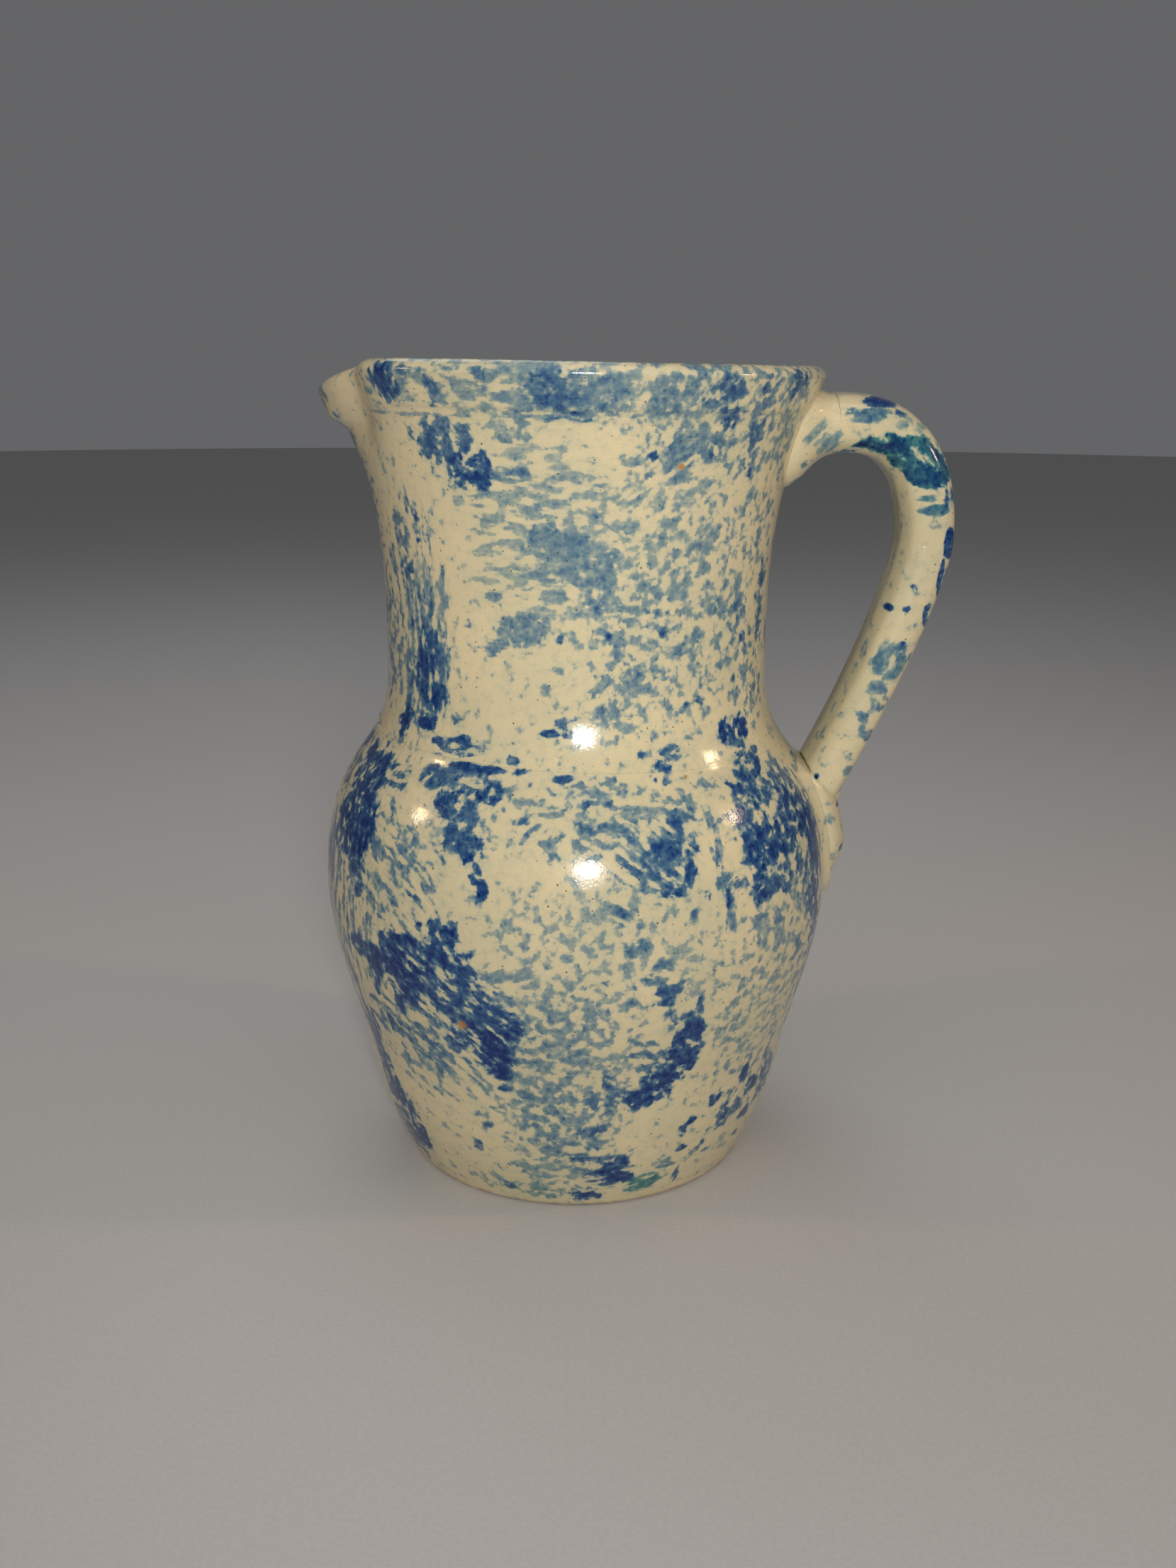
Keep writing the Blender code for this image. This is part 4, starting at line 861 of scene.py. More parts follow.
@dataclass
class Sponge:
    """Prints dabs onto a mesh as its "sponge" and "grain" attributes."""

    edge: float = 0.46
    core: float = 1.1
    sharpness: float = 3.0
    breakup: float = 0.89
    faintest: float = 1e-4
    bare_load: float = 0.30
    plain_cover: float = -2.0

    def offsets(self, dab: Dab, points: Array, on_body: bool) -> tuple[Array, Array, float, float]:
        """How far each point is from a dab's middle, and the dab's half sizes, in millimetres.

        Args:
            dab: The dab.
            points: The mesh's points in millimetres.
            on_body: Whether the dab is counted round the body instead of along the handle.

        Returns:
            Distances across and up, and the half width and half height.
        """
        if not on_body:
            return points[:, 0] - dab.turn, points[:, 2] - dab.height, dab.sweep, dab.tall
        radius = BODY.radius_at(dab.height * MM) / MM
        angle = np.arctan2(points[:, 0], -points[:, 1]) - math.radians(dab.turn)
        angle = (angle + math.pi) % (2.0 * math.pi) - math.pi
        return angle * radius, points[:, 2] - dab.height, math.radians(dab.sweep) * radius, dab.tall

    def reach(self, dab: Dab, points: Array, on_body: bool) -> Array:
        """How strongly a dab marks each point.

        Args:
            dab: The dab.
            points: The mesh's points in millimetres.
            on_body: Whether the dab is counted round the body instead of along the handle.

        Returns:
            A number from 0 to 1 for each point.
        """
        across, up, half_across, half_up = self.offsets(dab, points, on_body)
        lean = math.radians(dab.lean)
        along = across * math.cos(lean) + up * math.sin(lean)
        over = up * math.cos(lean) - across * math.sin(lean)
        distance = np.hypot(along / half_across, over / half_up)
        share = np.clip((self.core + self.edge - distance) / (2.0 * self.edge), 0.0, 1.0)
        mark = share * share * (3.0 - 2.0 * share)
        if dab.side is not Side.BOTH:
            mark = mark * (points[:, 1] * dab.side.value > 0.0)
        return mark

    def apply(self, mesh: bpy.types.Mesh, dabs: Sequence[Dab], on_body: bool, plain: Array) -> None:
        """Print the dabs.

        Args:
            mesh: The mesh.
            dabs: The dabs.
            on_body: Whether the dabs are counted round the body instead of along the handle.
            plain: For each point, True where the glaze stays plain cream.
        """
        points = read_points(mesh) / MM
        cover = np.zeros(len(points))
        weight = np.full(len(points), self.faintest)
        load = self.bare_load * weight
        green = np.zeros(len(points))
        grain = np.zeros((len(points), 4))
        for dab in dabs:
            mark = self.reach(dab, points, on_body)
            cover = np.maximum(cover, mark * dab.cover * self.breakup)
            pull = (mark * dab.cover) ** self.sharpness
            weight += pull
            load += pull * dab.load
            green += pull * dab.green
            grain += pull[:, None] * np.array(dab.grain.value)
        cover = np.where(plain, self.plain_cover, cover)
        paint = np.stack([cover, load / weight, green / weight, np.ones(len(points))], axis=1)
        write_colours(mesh, "sponge", paint)
        write_colours(mesh, "grain", grain / weight[:, None])


# Meshes


def read_points(mesh: bpy.types.Mesh) -> Array:
    """The mesh's points.

    Args:
        mesh: The mesh.

    Returns:
        Rows of x, y, z.
    """
    flat = np.zeros(len(mesh.vertices) * 3, np.float32)
    mesh.vertices.foreach_get("co", flat)
    return flat.reshape(-1, 3).astype(float)


def write_colours(mesh: bpy.types.Mesh, name: str, values: Array) -> None:
    """Keep four numbers for each point in a colour attribute."""
    attribute = mesh.attributes.new(name, "FLOAT_COLOR", "POINT")
    attribute.data.foreach_set("color", values.astype(np.float32).ravel())


def write_numbers(mesh: bpy.types.Mesh, name: str, values: Array) -> None:
    """Keep one number for each point in an attribute."""
    attribute = mesh.attributes.new(name, "FLOAT", "POINT")
    attribute.data.foreach_set("value", values.astype(np.float32).ravel())


def new_object(name: str, points: Array, faces: Sequence[Sequence[int]]) -> bpy.types.Object:
    """A mesh object in the scene.

    Args:
        name: The piece's name.
        points: Rows of x, y, z.
        faces: The faces, as lists of point numbers.

    Returns:
        The object.
    """
    mesh = bpy.data.meshes.new(name)
    mesh.from_pydata(points.tolist(), [], [list(map(int, face)) for face in faces])
    mesh.update()
    made = bpy.data.objects.new(name, mesh)
    bpy.context.scene.collection.objects.link(made)
    return made


def face_outwards(mesh: bpy.types.Mesh, merge: float = 0.0) -> None:
    """Merge doubled points if asked, and point the faces outwards.

    Args:
        mesh: The mesh.
        merge: How near two points have to be to become one; 0 merges none.
    """
    work = bmesh.new()
    work.from_mesh(mesh)
    if merge > 0.0:
        bmesh.ops.remove_doubles(work, verts=work.verts, dist=merge)
        bmesh.ops.dissolve_degenerate(work, dist=merge * 0.5, edges=work.edges)
    bmesh.ops.recalc_face_normals(work, faces=work.faces)
    work.to_mesh(mesh)
    work.free()


def finish_surface(mesh: bpy.types.Mesh, merge: float = 0.0) -> None:
    """Point the faces outwards and shade them smooth, with sharp edges kept.

    Args:
        mesh: The mesh.
        merge: How near two points have to be to become one; 0 merges none.
    """
    face_outwards(mesh, merge)
    mesh.shade_smooth()
    mesh.set_sharp_from_angle(angle=SHARP_ANGLE)


def smooth_step(low: Any, high: Any, value: Array) -> Array:
    """A smooth step from 0 at low to 1 at high."""
    share = np.clip((value - low) / (high - low), 0.0, 1.0)
    return share * share * (3.0 - 2.0 * share)


def graded(length: float, fine: float, coarse: float, growth: float = 0.10) -> Array:
    """Shares from 0 to 1 whose steps are fine at both ends and coarse in the middle.

    Args:
        length: The length that the shares run over.
        fine: The step at the ends.
        coarse: The longest step.
        growth: How fast the steps lengthen away from an end.

    Returns:
        The shares.
    """
    places = [0.0]
    while places[-1] < length:
        edge = min(places[-1], max(length - places[-1], 0.0))
        places.append(places[-1] + min(fine + growth * edge, coarse))
    return np.array(places) / places[-1]


def round_angles(count: int) -> Array:
    """Angles spread evenly round a circle."""
    return np.arange(count) * (2.0 * math.pi / count)


def ring_faces(rows: int, columns: int, closed_rows: bool) -> Array:
    """Faces of a grid that closes round its columns.

    Args:
        rows: How many rows of points the grid has.
        columns: How many points a row has.
        closed_rows: Whether the last row also joins the first.

    Returns:
        Rows of four point numbers.
    """
    spans = np.arange(rows if closed_rows else rows - 1)
    row, column = np.meshgrid(spans, np.arange(columns), indexing="ij")
    above = (row + 1) % rows
    beside = (column + 1) % columns
    corners = [row * columns + column, row * columns + beside,
               above * columns + beside, above * columns + column]
    return np.stack(corners, axis=-1).reshape(-1, 4)


def capped_faces(rows: int, columns: int) -> list[list[int]]:
    """Faces of a tube of rings, closed at both ends round a middle point.

    Args:
        rows: How many rings the tube has; the two middle points come after them.
        columns: How many points a ring has.

    Returns:
        The faces, as lists of point numbers.
    """
    faces = ring_faces(rows, columns, False).tolist()
    count = rows * columns
    last = count - columns
    for column in range(columns):
        after = (column + 1) % columns
        faces.append([after, column, count])
        faces.append([last + column, last + after, count + 1])
    return faces


# The thrown body


@dataclass(frozen=True)
class BodyShape:
    """The rules of the turned body, its joint lines and its lip, shared by all pieces.

    A station is a height, the radius there and how fast the radius grows with height.
    """

    stations: tuple[Triple, ...] = (
        (0.0, 50.4 * MM, 0.53),
        (32.0 * MM, 62.2 * MM, 0.19),
        (83.0 * MM, 73.1 * MM, 0.0),
        (122.7 * MM, 61.4 * MM, -0.78),
        (156.0 * MM, 53.8 * MM, 0.0),
        (229.0 * MM, 68.8 * MM, 0.5),
    )
    rim_height: float = 229.0 * MM
    rim_radius: float = 68.8 * MM
    rim_tilt: float = math.radians(0.78)
    seam: float = 127.8 * MM
    seam_tilt: float = math.radians(1.9)
    band_line: float = 217.5 * MM
    band_proud: float = 0.6 * MM
    lip_dip: float = 6.2 * MM
    lip_dip_width: float = math.radians(21.6)
    band_dip_share: float = 0.7
    lip_pull: float = 5.3 * MM
    lip_pull_width: float = math.radians(12.5)
    undercut_pull: float = 1.9 * MM
    lip_fade: float = 195.0 * MM
    chin: float = 4.0 * MM
    pinch: float = 4.6 * MM
    pinch_angle: float = math.radians(25.0)
    pinch_width: float = math.radians(8.5)
    pinch_fade: float = 200.0 * MM
    foot_wall: float = 7.8 * MM
    neck_wall: float = 6.0 * MM

    def radius(self, height: Array) -> Array:
        """Outside radius of the plain turned body: cubic pieces between the stations.

        Args:
            height: Heights.

        Returns:
            The radii.
        """
        z = np.clip(height, 0.0, self.rim_height)
        out = np.full_like(z, self.rim_radius)
        for (z0, r0, m0), (z1, r1, m1) in zip(self.stations, self.stations[1:]):
            span = z1 - z0
            t = np.clip((z - z0) / span, 0.0, 1.0)
            low = (1.0 + 2.0 * t) * (1.0 - t) ** 2 * r0 + t * (1.0 - t) ** 2 * span * m0
            high = t * t * (3.0 - 2.0 * t) * r1 + t * t * (t - 1.0) * span * m1
            out = np.where((z >= z0) & (z <= z1), low + high, out)
        return out

    def radius_at(self, height: float) -> float:
        """Outside radius of the plain turned body at one height."""
        return float(self.radius(np.array([height]))[0])

    def slope(self, height: Array) -> Array:
        """How fast the radius grows with height."""
        step = 0.5 * MM
        return (self.radius(height + step) - self.radius(height - step)) / (2.0 * step)

    def seam_height(self, angle: Array) -> Array:
        """Where the neck was set on the belly."""
        drop = math.tan(self.seam_tilt) * self.radius_at(self.seam)
        return self.seam - drop * np.cos(angle)

    def from_lip(self, angle: Array) -> Array:
        """Angle away from the middle of the lip, 0 to pi."""
        return np.abs(np.remainder(angle, 2.0 * math.pi) - math.pi)

    def dip(self, angle: Array) -> Array:
        """How far the rim dips at the lip."""
        return self.lip_dip * np.exp(-((self.from_lip(angle) / self.lip_dip_width) ** 2))

    def rim_drop(self, angle: Array) -> Array:
        """How far the whole rim runs downhill towards the handle."""
        return math.tan(self.rim_tilt) * self.rim_radius * np.cos(angle)

    def rim_at(self, angle: Array) -> Array:
        """Height of the rim's edge."""
        return self.rim_height - self.rim_drop(angle) - self.dip(angle)

    def line_at(self, angle: Array) -> Array:
        """Height of the line under the rim band."""
        return self.band_line - self.rim_drop(angle) - self.band_dip_share * self.dip(angle)

    def lip_shape(self, angle: Array, height: Array, pull: Any) -> Array:
        """How far the wall is pulled out at the lip, less how far it is pinched in beside it.

        Args:
            angle: Angles round the axis.
            height: Heights.
            pull: How far the middle of the lip is pulled.

        Returns:
            Distances outwards.
        """
        side = self.from_lip(angle)
        out = pull * np.exp(-((side / self.lip_pull_width) ** 2))
        pinch = self.pinch * np.exp(-(((side - self.pinch_angle) / self.pinch_width) ** 2))
        return out - pinch * smooth_step(self.pinch_fade, self.rim_height, height)

    def neck_outside(self, angle: Array, height: Array) -> Array:
        """Outside of the neck, with the chin under the lip.

        Args:
            angle: Angles round the axis.
            height: Heights.

        Returns:
            The radii.
        """
        line = self.line_at(angle)
        lip_line = float(self.line_at(np.array([math.pi]))[0])
        fade = smooth_step(self.lip_fade, lip_line, height)
        chin = smooth_step(line - self.chin, line, height)
        pull = self.undercut_pull * fade + (self.lip_pull - self.undercut_pull) * chin
        return self.radius(height) + self.lip_shape(angle, height, pull)

    def band_outside(self, angle: Array, height: Array) -> Array:
        """Outside of the rim band."""
        return self.radius(height) + self.band_proud + self.lip_shape(angle, height, self.lip_pull)

    def inside(self, angle: Array, height: Array) -> Array:
        """Inside of the whole wall.

        Args:
            angle: Angles round the axis.
            height: Heights.

        Returns:
            The radii.
        """
        thin = np.maximum(1.0 - height / self.seam, 0.0)
        thickness = self.neck_wall + (self.foot_wall - self.neck_wall) * thin
        fade = smooth_step(self.lip_fade, self.band_line, height)
        pull = self.lip_shape(angle, height, self.lip_pull * fade)
        return self.radius(height) + pull - thickness * np.hypot(1.0, self.slope(height))


BODY = BodyShape()


@dataclass
class ThrowingMarks:
    """A geometry tree that works throwing rings and hand wobble into a thrown wall."""

    ring_pitch: float = 4.2 * MM
    ring_depth: float = 0.16 * MM
    ring_climb: float = 0.15
    ring_drift: float = 0.35
    wobble_size: float = 26.0 * MM
    wobble_depth: float = 0.34 * MM
    seed: float = 7.0
    tree: bpy.types.NodeTree = field(init=False)

    def __post_init__(self) -> None:
        """Build the tree once."""
        floats = ("Ring Pitch", "Ring Depth", "Wobble Size", "Wobble Depth", "Seed")
        sockets = [(name, "Float") for name in floats] + [("Glaze", "Material"), ("Clay", "Material")]
        bench, given = open_tree("throwing_marks", sockets)
        self.tree = bench.tree
        depth = self.depth(bench, given)
        push = bench.scaled(bench.add("GeometryNodeInputNormal"), depth)
        moved = bench.add("GeometryNodeSetPosition", None, {"Geometry": given["Geometry"], "Offset": push})
        real = bench.add("GeometryNodeRealizeInstances", None, {0: moved})
        glazed = bench.set_material(real, given["Glaze"])
        is_bare = bench.maths("GREATER_THAN", bench.recall("bare"), 0.5)
        bench.end(bench.set_material(glazed, given["Clay"], is_bare))

    def depth(self, bench: Bench, given: dict[str, Wire]) -> Wire:
        """How far the marks raise each point.

        Args:
            bench: The tree's bench.
            given: The tree's inputs, by name.

        Returns:
            The distance outwards.
        """
        place = bench.add("GeometryNodeInputPosition")
        x, y, height = bench.split(place)
        turns = bench.maths("ARCTAN2", y, x) * (1.0 / math.tau)
        coils = height / given["Ring Pitch"]
        climb = bench.add("ShaderNodeCombineXYZ", None, {"X": given["Seed"], "Z": coils})
        drift = bench.maths("COSINE", turns * math.tau + coils * self.ring_climb)
        ring_noise = bench.noise(climb, 1.0, 1.0)
        rings = (ring_noise - 0.5) * given["Ring Depth"] * (1.0 + drift * self.ring_drift)
        spread = bench.scaled(place, 1.0 / given["Wobble Size"])
        sockets = {"Vector": spread, "W": given["Seed"], "Scale": 1.0, "Detail": 1.0}
        wobble = bench.add("ShaderNodeTexNoise", {"noise_dimensions": "4D"}, sockets)
        return (rings + (wobble - 0.5) * given["Wobble Depth"]) * bench.recall("relief")

    def work(self, obj: bpy.types.Object, glaze: bpy.types.Material, clay: bpy.types.Material,
             strength: float = 1.0) -> bpy.types.Object:
        """Work the marks into a piece.

        Args:
            obj: The plain turned piece.
            glaze: The glaze for its faces.
            clay: The bare clay for faces marked bare.
            strength: How deep the marks are against the usual depth.

        Returns:
            The worked piece, as a plain mesh.
        """
        values = {"Ring Pitch": self.ring_pitch, "Ring Depth": self.ring_depth * strength,
                  "Wobble Size": self.wobble_size, "Wobble Depth": self.wobble_depth * strength,
                  "Seed": self.seed, "Glaze": glaze, "Clay": clay}
        return run_tree(obj, self.tree, values)


@dataclass(frozen=True)
class Row:
    """One ring of a thrown wall: radii, heights, how much throwing relief it takes, and bareness."""

    radii: Array
    heights: Array
    relief: float = 0.0
    bare: float = 0.0


@dataclass
class ThrownBody:
    """The foot floor, the belly, the neck and the rim band.

    Turns are in degrees. The fades of a wall are the lengths over which its throwing relief fades
    out at its lower and at its upper end.
    """

    glaze: bpy.types.Material
    clay: bpy.types.Material
    columns: int = 432
    row_step: float = 1.15 * MM
    fine_step: float = 0.22 * MM
    band_step: float = 0.7 * MM
    neck_growth: float = 0.07
    belly_fades: Pair = (4.0 * MM, 2.5 * MM)
    neck_fades: Pair = (2.5 * MM, 5.0 * MM)
    inside_rows: int = 40
    inside_relief: float = 1.3
    inside_fade: float = 12.0
    foot_round: float = 1.2 * MM
    foot_turns: tuple[float, ...] = (-90.0, -68.0, -45.0, -22.0)
    foot_flat: float = 0.25 * MM
    floor_thickness: float = 7.0 * MM
    floor_radius: float = 42.3 * MM
    floor_under: tuple[float, ...] = (32.0 * MM, 21.0 * MM, 10.0 * MM)
    floor_ring: float = 0.12 * MM
    floor_ring_pitch: float = 1.25 * MM
    floor_rings: int = 60
    cove: float = 9.0 * MM
    cove_turns: tuple[float, ...] = (75.0, 60.0, 45.0, 30.0, 15.0, 0.0)
    rim_round: float = 3.0 * MM
    rim_turn: float = 12.0
    rim_plain: float = 1.2 * MM
    rim_relief: float = 0.8
    rim_fade: float = 3.0
    rim_strength: float = 0.6
    rim_rows: int = 12
    seam_step: float = 0.11 * MM
    seam_step_fade: float = 1.3 * MM
    seam_roll: float = 0.30 * MM
    seam_roll_fade: float = 1.5 * MM
    seam_plainest: float = math.radians(215.0)
    seam_mean: float = 0.55
    seam_swing: float = 0.45
    seam_extra: float = 0.4
    band_shelf: float = 0.30 * MM
    shelf_fade_below: float = 0.8 * MM
    shelf_fade_above: float = 0.55 * MM
    tool_depth: float = 0.11 * MM
    tool_below: float = 3.1 * MM
    tool_width: float = 0.5 * MM
    marks: ThrowingMarks = field(default_factory=ThrowingMarks)
    sponge: Sponge = field(default_factory=Sponge)
    angles: Array = field(init=False)

    def __post_init__(self) -> None:
        """Spread the columns round the body."""
        self.angles = round_angles(self.columns)

    def flat(self, value: float) -> Array:
        """One value all the way round."""
        return np.ones(self.columns) * value

    def seam_strength(self) -> Array:
        """How plainly the seam shows: most on the lip side, faint towards the handle."""
        return self.seam_mean + self.seam_swing * np.cos(self.angles - self.seam_plainest)

    @staticmethod
    def relief_at(share: float, length: float, fades: Pair) -> float:
        """How much throwing relief a row takes, at a share of a wall's length."""
        return min(share * length / fades[0], (1.0 - share) * length / fades[1], 1.0)

    def rings(self, radii: Array, heights: Array) -> Array:
        """Points of rings round the axis, as rows, columns and x, y, z."""
        return np.stack([radii * np.cos(self.angles), radii * np.sin(self.angles), heights], axis=-1)

    def wall(self, name: str, rows: Sequence[Row]) -> bpy.types.Object:
        """A closed ring-shaped wall from the rows of its section.

        Args:
            name: The piece's name.
            rows: The rows, in order round the section.

        Returns:
            The object, still plain.
        """
        points = self.rings(np.stack([row.radii for row in rows]), np.stack([row.heights for row in rows]))
        made = new_object(name, points.reshape(-1, 3), ring_faces(len(rows), self.columns, True))
        write_numbers(made.data, "relief", np.repeat([row.relief for row in rows], self.columns))
        write_numbers(made.data, "bare", np.repeat([row.bare for row in rows], self.columns))
        face_outwards(made.data)
        return made

    def inside_between(self, low: Array, high: Array) -> list[Row]:
        """Rows of the inside of the wall.

        Args:
            low: Heights of the lowest row.
            high: Heights of the highest row.

        Returns:
            The rows, from the top down.
        """
        rows = []
        for share in np.linspace(1.0, 0.0, self.inside_rows):
            z = low + (high - low) * share
            fade = min(min(share, 1.0 - share) * self.inside_fade, 1.0)
            rows.append(Row(BODY.inside(self.angles, z), z, self.inside_relief * fade))
        return rows

    def dress(self, obj: bpy.types.Object, dabs: Sequence[Dab], strength: float = 1.0) -> bpy.types.Object:
        """Work the throwing marks into a wall, smooth it and sponge its outside.

        Args:
            obj: The plain wall.
            dabs: The sponge prints.
            strength: How deep the throwing marks are against the usual depth.

        Returns:
            The finished piece.
        """
        made = self.marks.work(obj, self.glaze, self.clay, strength)
        finish_surface(made.data)
        points = read_points(made.data)
        height = points[:, 2]
        reach = np.hypot(points[:, 0], points[:, 1])
        angle = np.arctan2(points[:, 1], points[:, 0])
        middle = (BODY.inside(angle, height) + BODY.neck_outside(angle, height)) / 2.0
        plain = (reach < middle) & (height < BODY.rim_at(angle) - self.rim_plain)
        self.sponge.apply(made.data, dabs, True, plain)
        return made

    def belly(self, dabs: Sequence[Dab]) -> bpy.types.Object:
        """The belly, from the foot ring to the seam, with the cove over the floor inside.

        Args:
            dabs: The sponge prints.

        Returns:
            The piece.
        """
        top = BODY.seam_height(self.angles)
        foot = BODY.radius_at(self.foot_round)
        rows = []
        for turn in np.radians(self.foot_turns):
            reach = foot - self.foot_round + self.foot_round * math.cos(turn)
            rows.append(Row(self.flat(reach), self.flat(self.foot_round + self.foot_round * math.sin(turn))))
        roll = self.seam_roll * self.seam_strength()
        length = float(top.mean()) - self.foot_round
        for share in graded(length, self.fine_step, self.row_step):
            z = self.foot_round + (top - self.foot_round) * share
            near = np.exp(-(top - z) / self.seam_roll_fade)
            relief = self.relief_at(share, length, self.belly_fades)
            rows.append(Row(BODY.radius(z) + roll * near, z, relief))
        cove_top = self.flat(self.floor_thickness + self.cove)
        rows += self.inside_between(cove_top, top)
        edge = rows[-1].radii - self.cove
        for turn in np.radians(self.cove_turns):
            rows.append(Row(edge + self.cove * math.sin(turn), cove_top - self.cove * math.cos(turn)))
        rows.append(Row(self.flat(self.floor_radius), self.flat(self.floor_thickness)))
        rows.append(Row(self.flat(self.floor_radius), self.flat(0.0), 0.0, 1.0))
        made = self.wall("belly_wall_glazed", rows)
        self.mark_foot(made.data)
        return self.dress(made, dabs)

    def mark_foot(self, mesh: bpy.types.Mesh) -> None:
        """Mark the flat underside of the foot ring as bare clay."""
        bare = read_points(mesh)[:, 2] < self.foot_flat
        mesh.attributes["bare"].data.foreach_set("value", bare.astype(np.float32))

    def neck(self, dabs: Sequence[Dab]) -> bpy.types.Object:
        """The neck, from the seam to the line under the rim band.

        Args:
            dabs: The sponge prints.

        Returns:
            The piece.
        """
        low, high = BODY.seam_height(self.angles), BODY.line_at(self.angles)
        step = self.seam_step * (self.seam_extra + self.seam_strength())
        length = float((high - low).mean())
        rows = []
        for share in graded(length, self.fine_step, self.row_step, self.neck_growth):
            z = low + (high - low) * share
            near = np.exp(-(z - low) / self.seam_step_fade)
            shelf = self.band_shelf * np.exp(-(high - z) / self.shelf_fade_below)
            tool = -self.tool_depth * np.exp(-(((high - z) - self.tool_below) / self.tool_width) ** 2)
            outside = BODY.neck_outside(self.angles, z) - step * near + shelf + tool
            rows.append(Row(outside, z, self.relief_at(share, length, self.neck_fades)))
        rows += self.inside_between(low, high)
        return self.dress(self.wall("neck_wall_glazed", rows), dabs)

    def rim(self, dabs: Sequence[Dab]) -> bpy.types.Object:
        """The rim band with its rounded edge and the pulled lip.

        Args:
            dabs: The sponge prints.

        Returns:
            The piece.
        """
        angles = self.angles
        low, shoulder = BODY.line_at(angles), BODY.rim_at(angles) - self.rim_round
        length = float((shoulder - low).mean())
        rows = []
        for share in graded(length, self.fine_step, self.band_step):
            z = low + (shoulder - low) * share
            shelf = (BODY.band_proud - self.band_shelf) * np.exp(-(z - low) / self.shelf_fade_above)
            relief = min(share * self.rim_fade, self.rim_relief)
            rows.append(Row(BODY.band_outside(angles, z) - shelf, z, relief))
        inside, outside = BODY.inside(angles, shoulder), BODY.band_outside(angles, shoulder)
        centre, half = (inside + outside) / 2.0, (outside - inside) / 2.0
        for turn in np.radians(np.arange(self.rim_turn, 180.0, self.rim_turn)):
            height = shoulder + self.rim_round * math.sin(turn)
            rows.append(Row(centre + half * math.cos(turn), height, self.rim_relief))
        for share in np.linspace(1.0, 0.0, self.rim_rows):
            z = low + (shoulder - low) * share
            rows.append(Row(BODY.inside(angles, z), z, min(share * self.rim_fade, self.rim_relief)))
        return self.dress(self.wall("rim_band_glazed", rows), dabs, self.rim_strength)

    def floor(self) -> bpy.types.Object:
        """The floor disc: glazed and ringed above, bare and flat below.

        Returns:
            The piece.
        """
        rows = []
        for reach in np.linspace(0.0, self.floor_radius, self.floor_rings)[1:-1]:
            swell = self.floor_ring * math.sin(reach / self.floor_ring_pitch)
            rows.append((reach, self.floor_thickness + swell * (1.0 - reach / self.floor_radius)))
        rows.append((self.floor_radius, self.floor_thickness))
        rows += [(reach, 0.0) for reach in (self.floor_radius, *self.floor_under)]
        radii = np.array([row[0] for row in rows])[:, None]
        grid = self.rings(radii, np.array([row[1] for row in rows])[:, None] * self.flat(1.0))
        middles = [[0.0, 0.0, self.floor_thickness], [0.0, 0.0, 0.0]]
        points = np.concatenate([grid.reshape(-1, 3), middles])
        made = new_object("foot_floor_clay", points, capped_faces(len(rows), self.columns))
        finish_surface(made.data)
        made.data.materials.append(self.glaze)
        made.data.materials.append(self.clay)
        for face in made.data.polygons:
            face.material_index = 1 if face.normal.z < -0.5 else 0
        self.sponge.apply(made.data, (), True, np.ones(len(points), bool))
        return made


# The handle


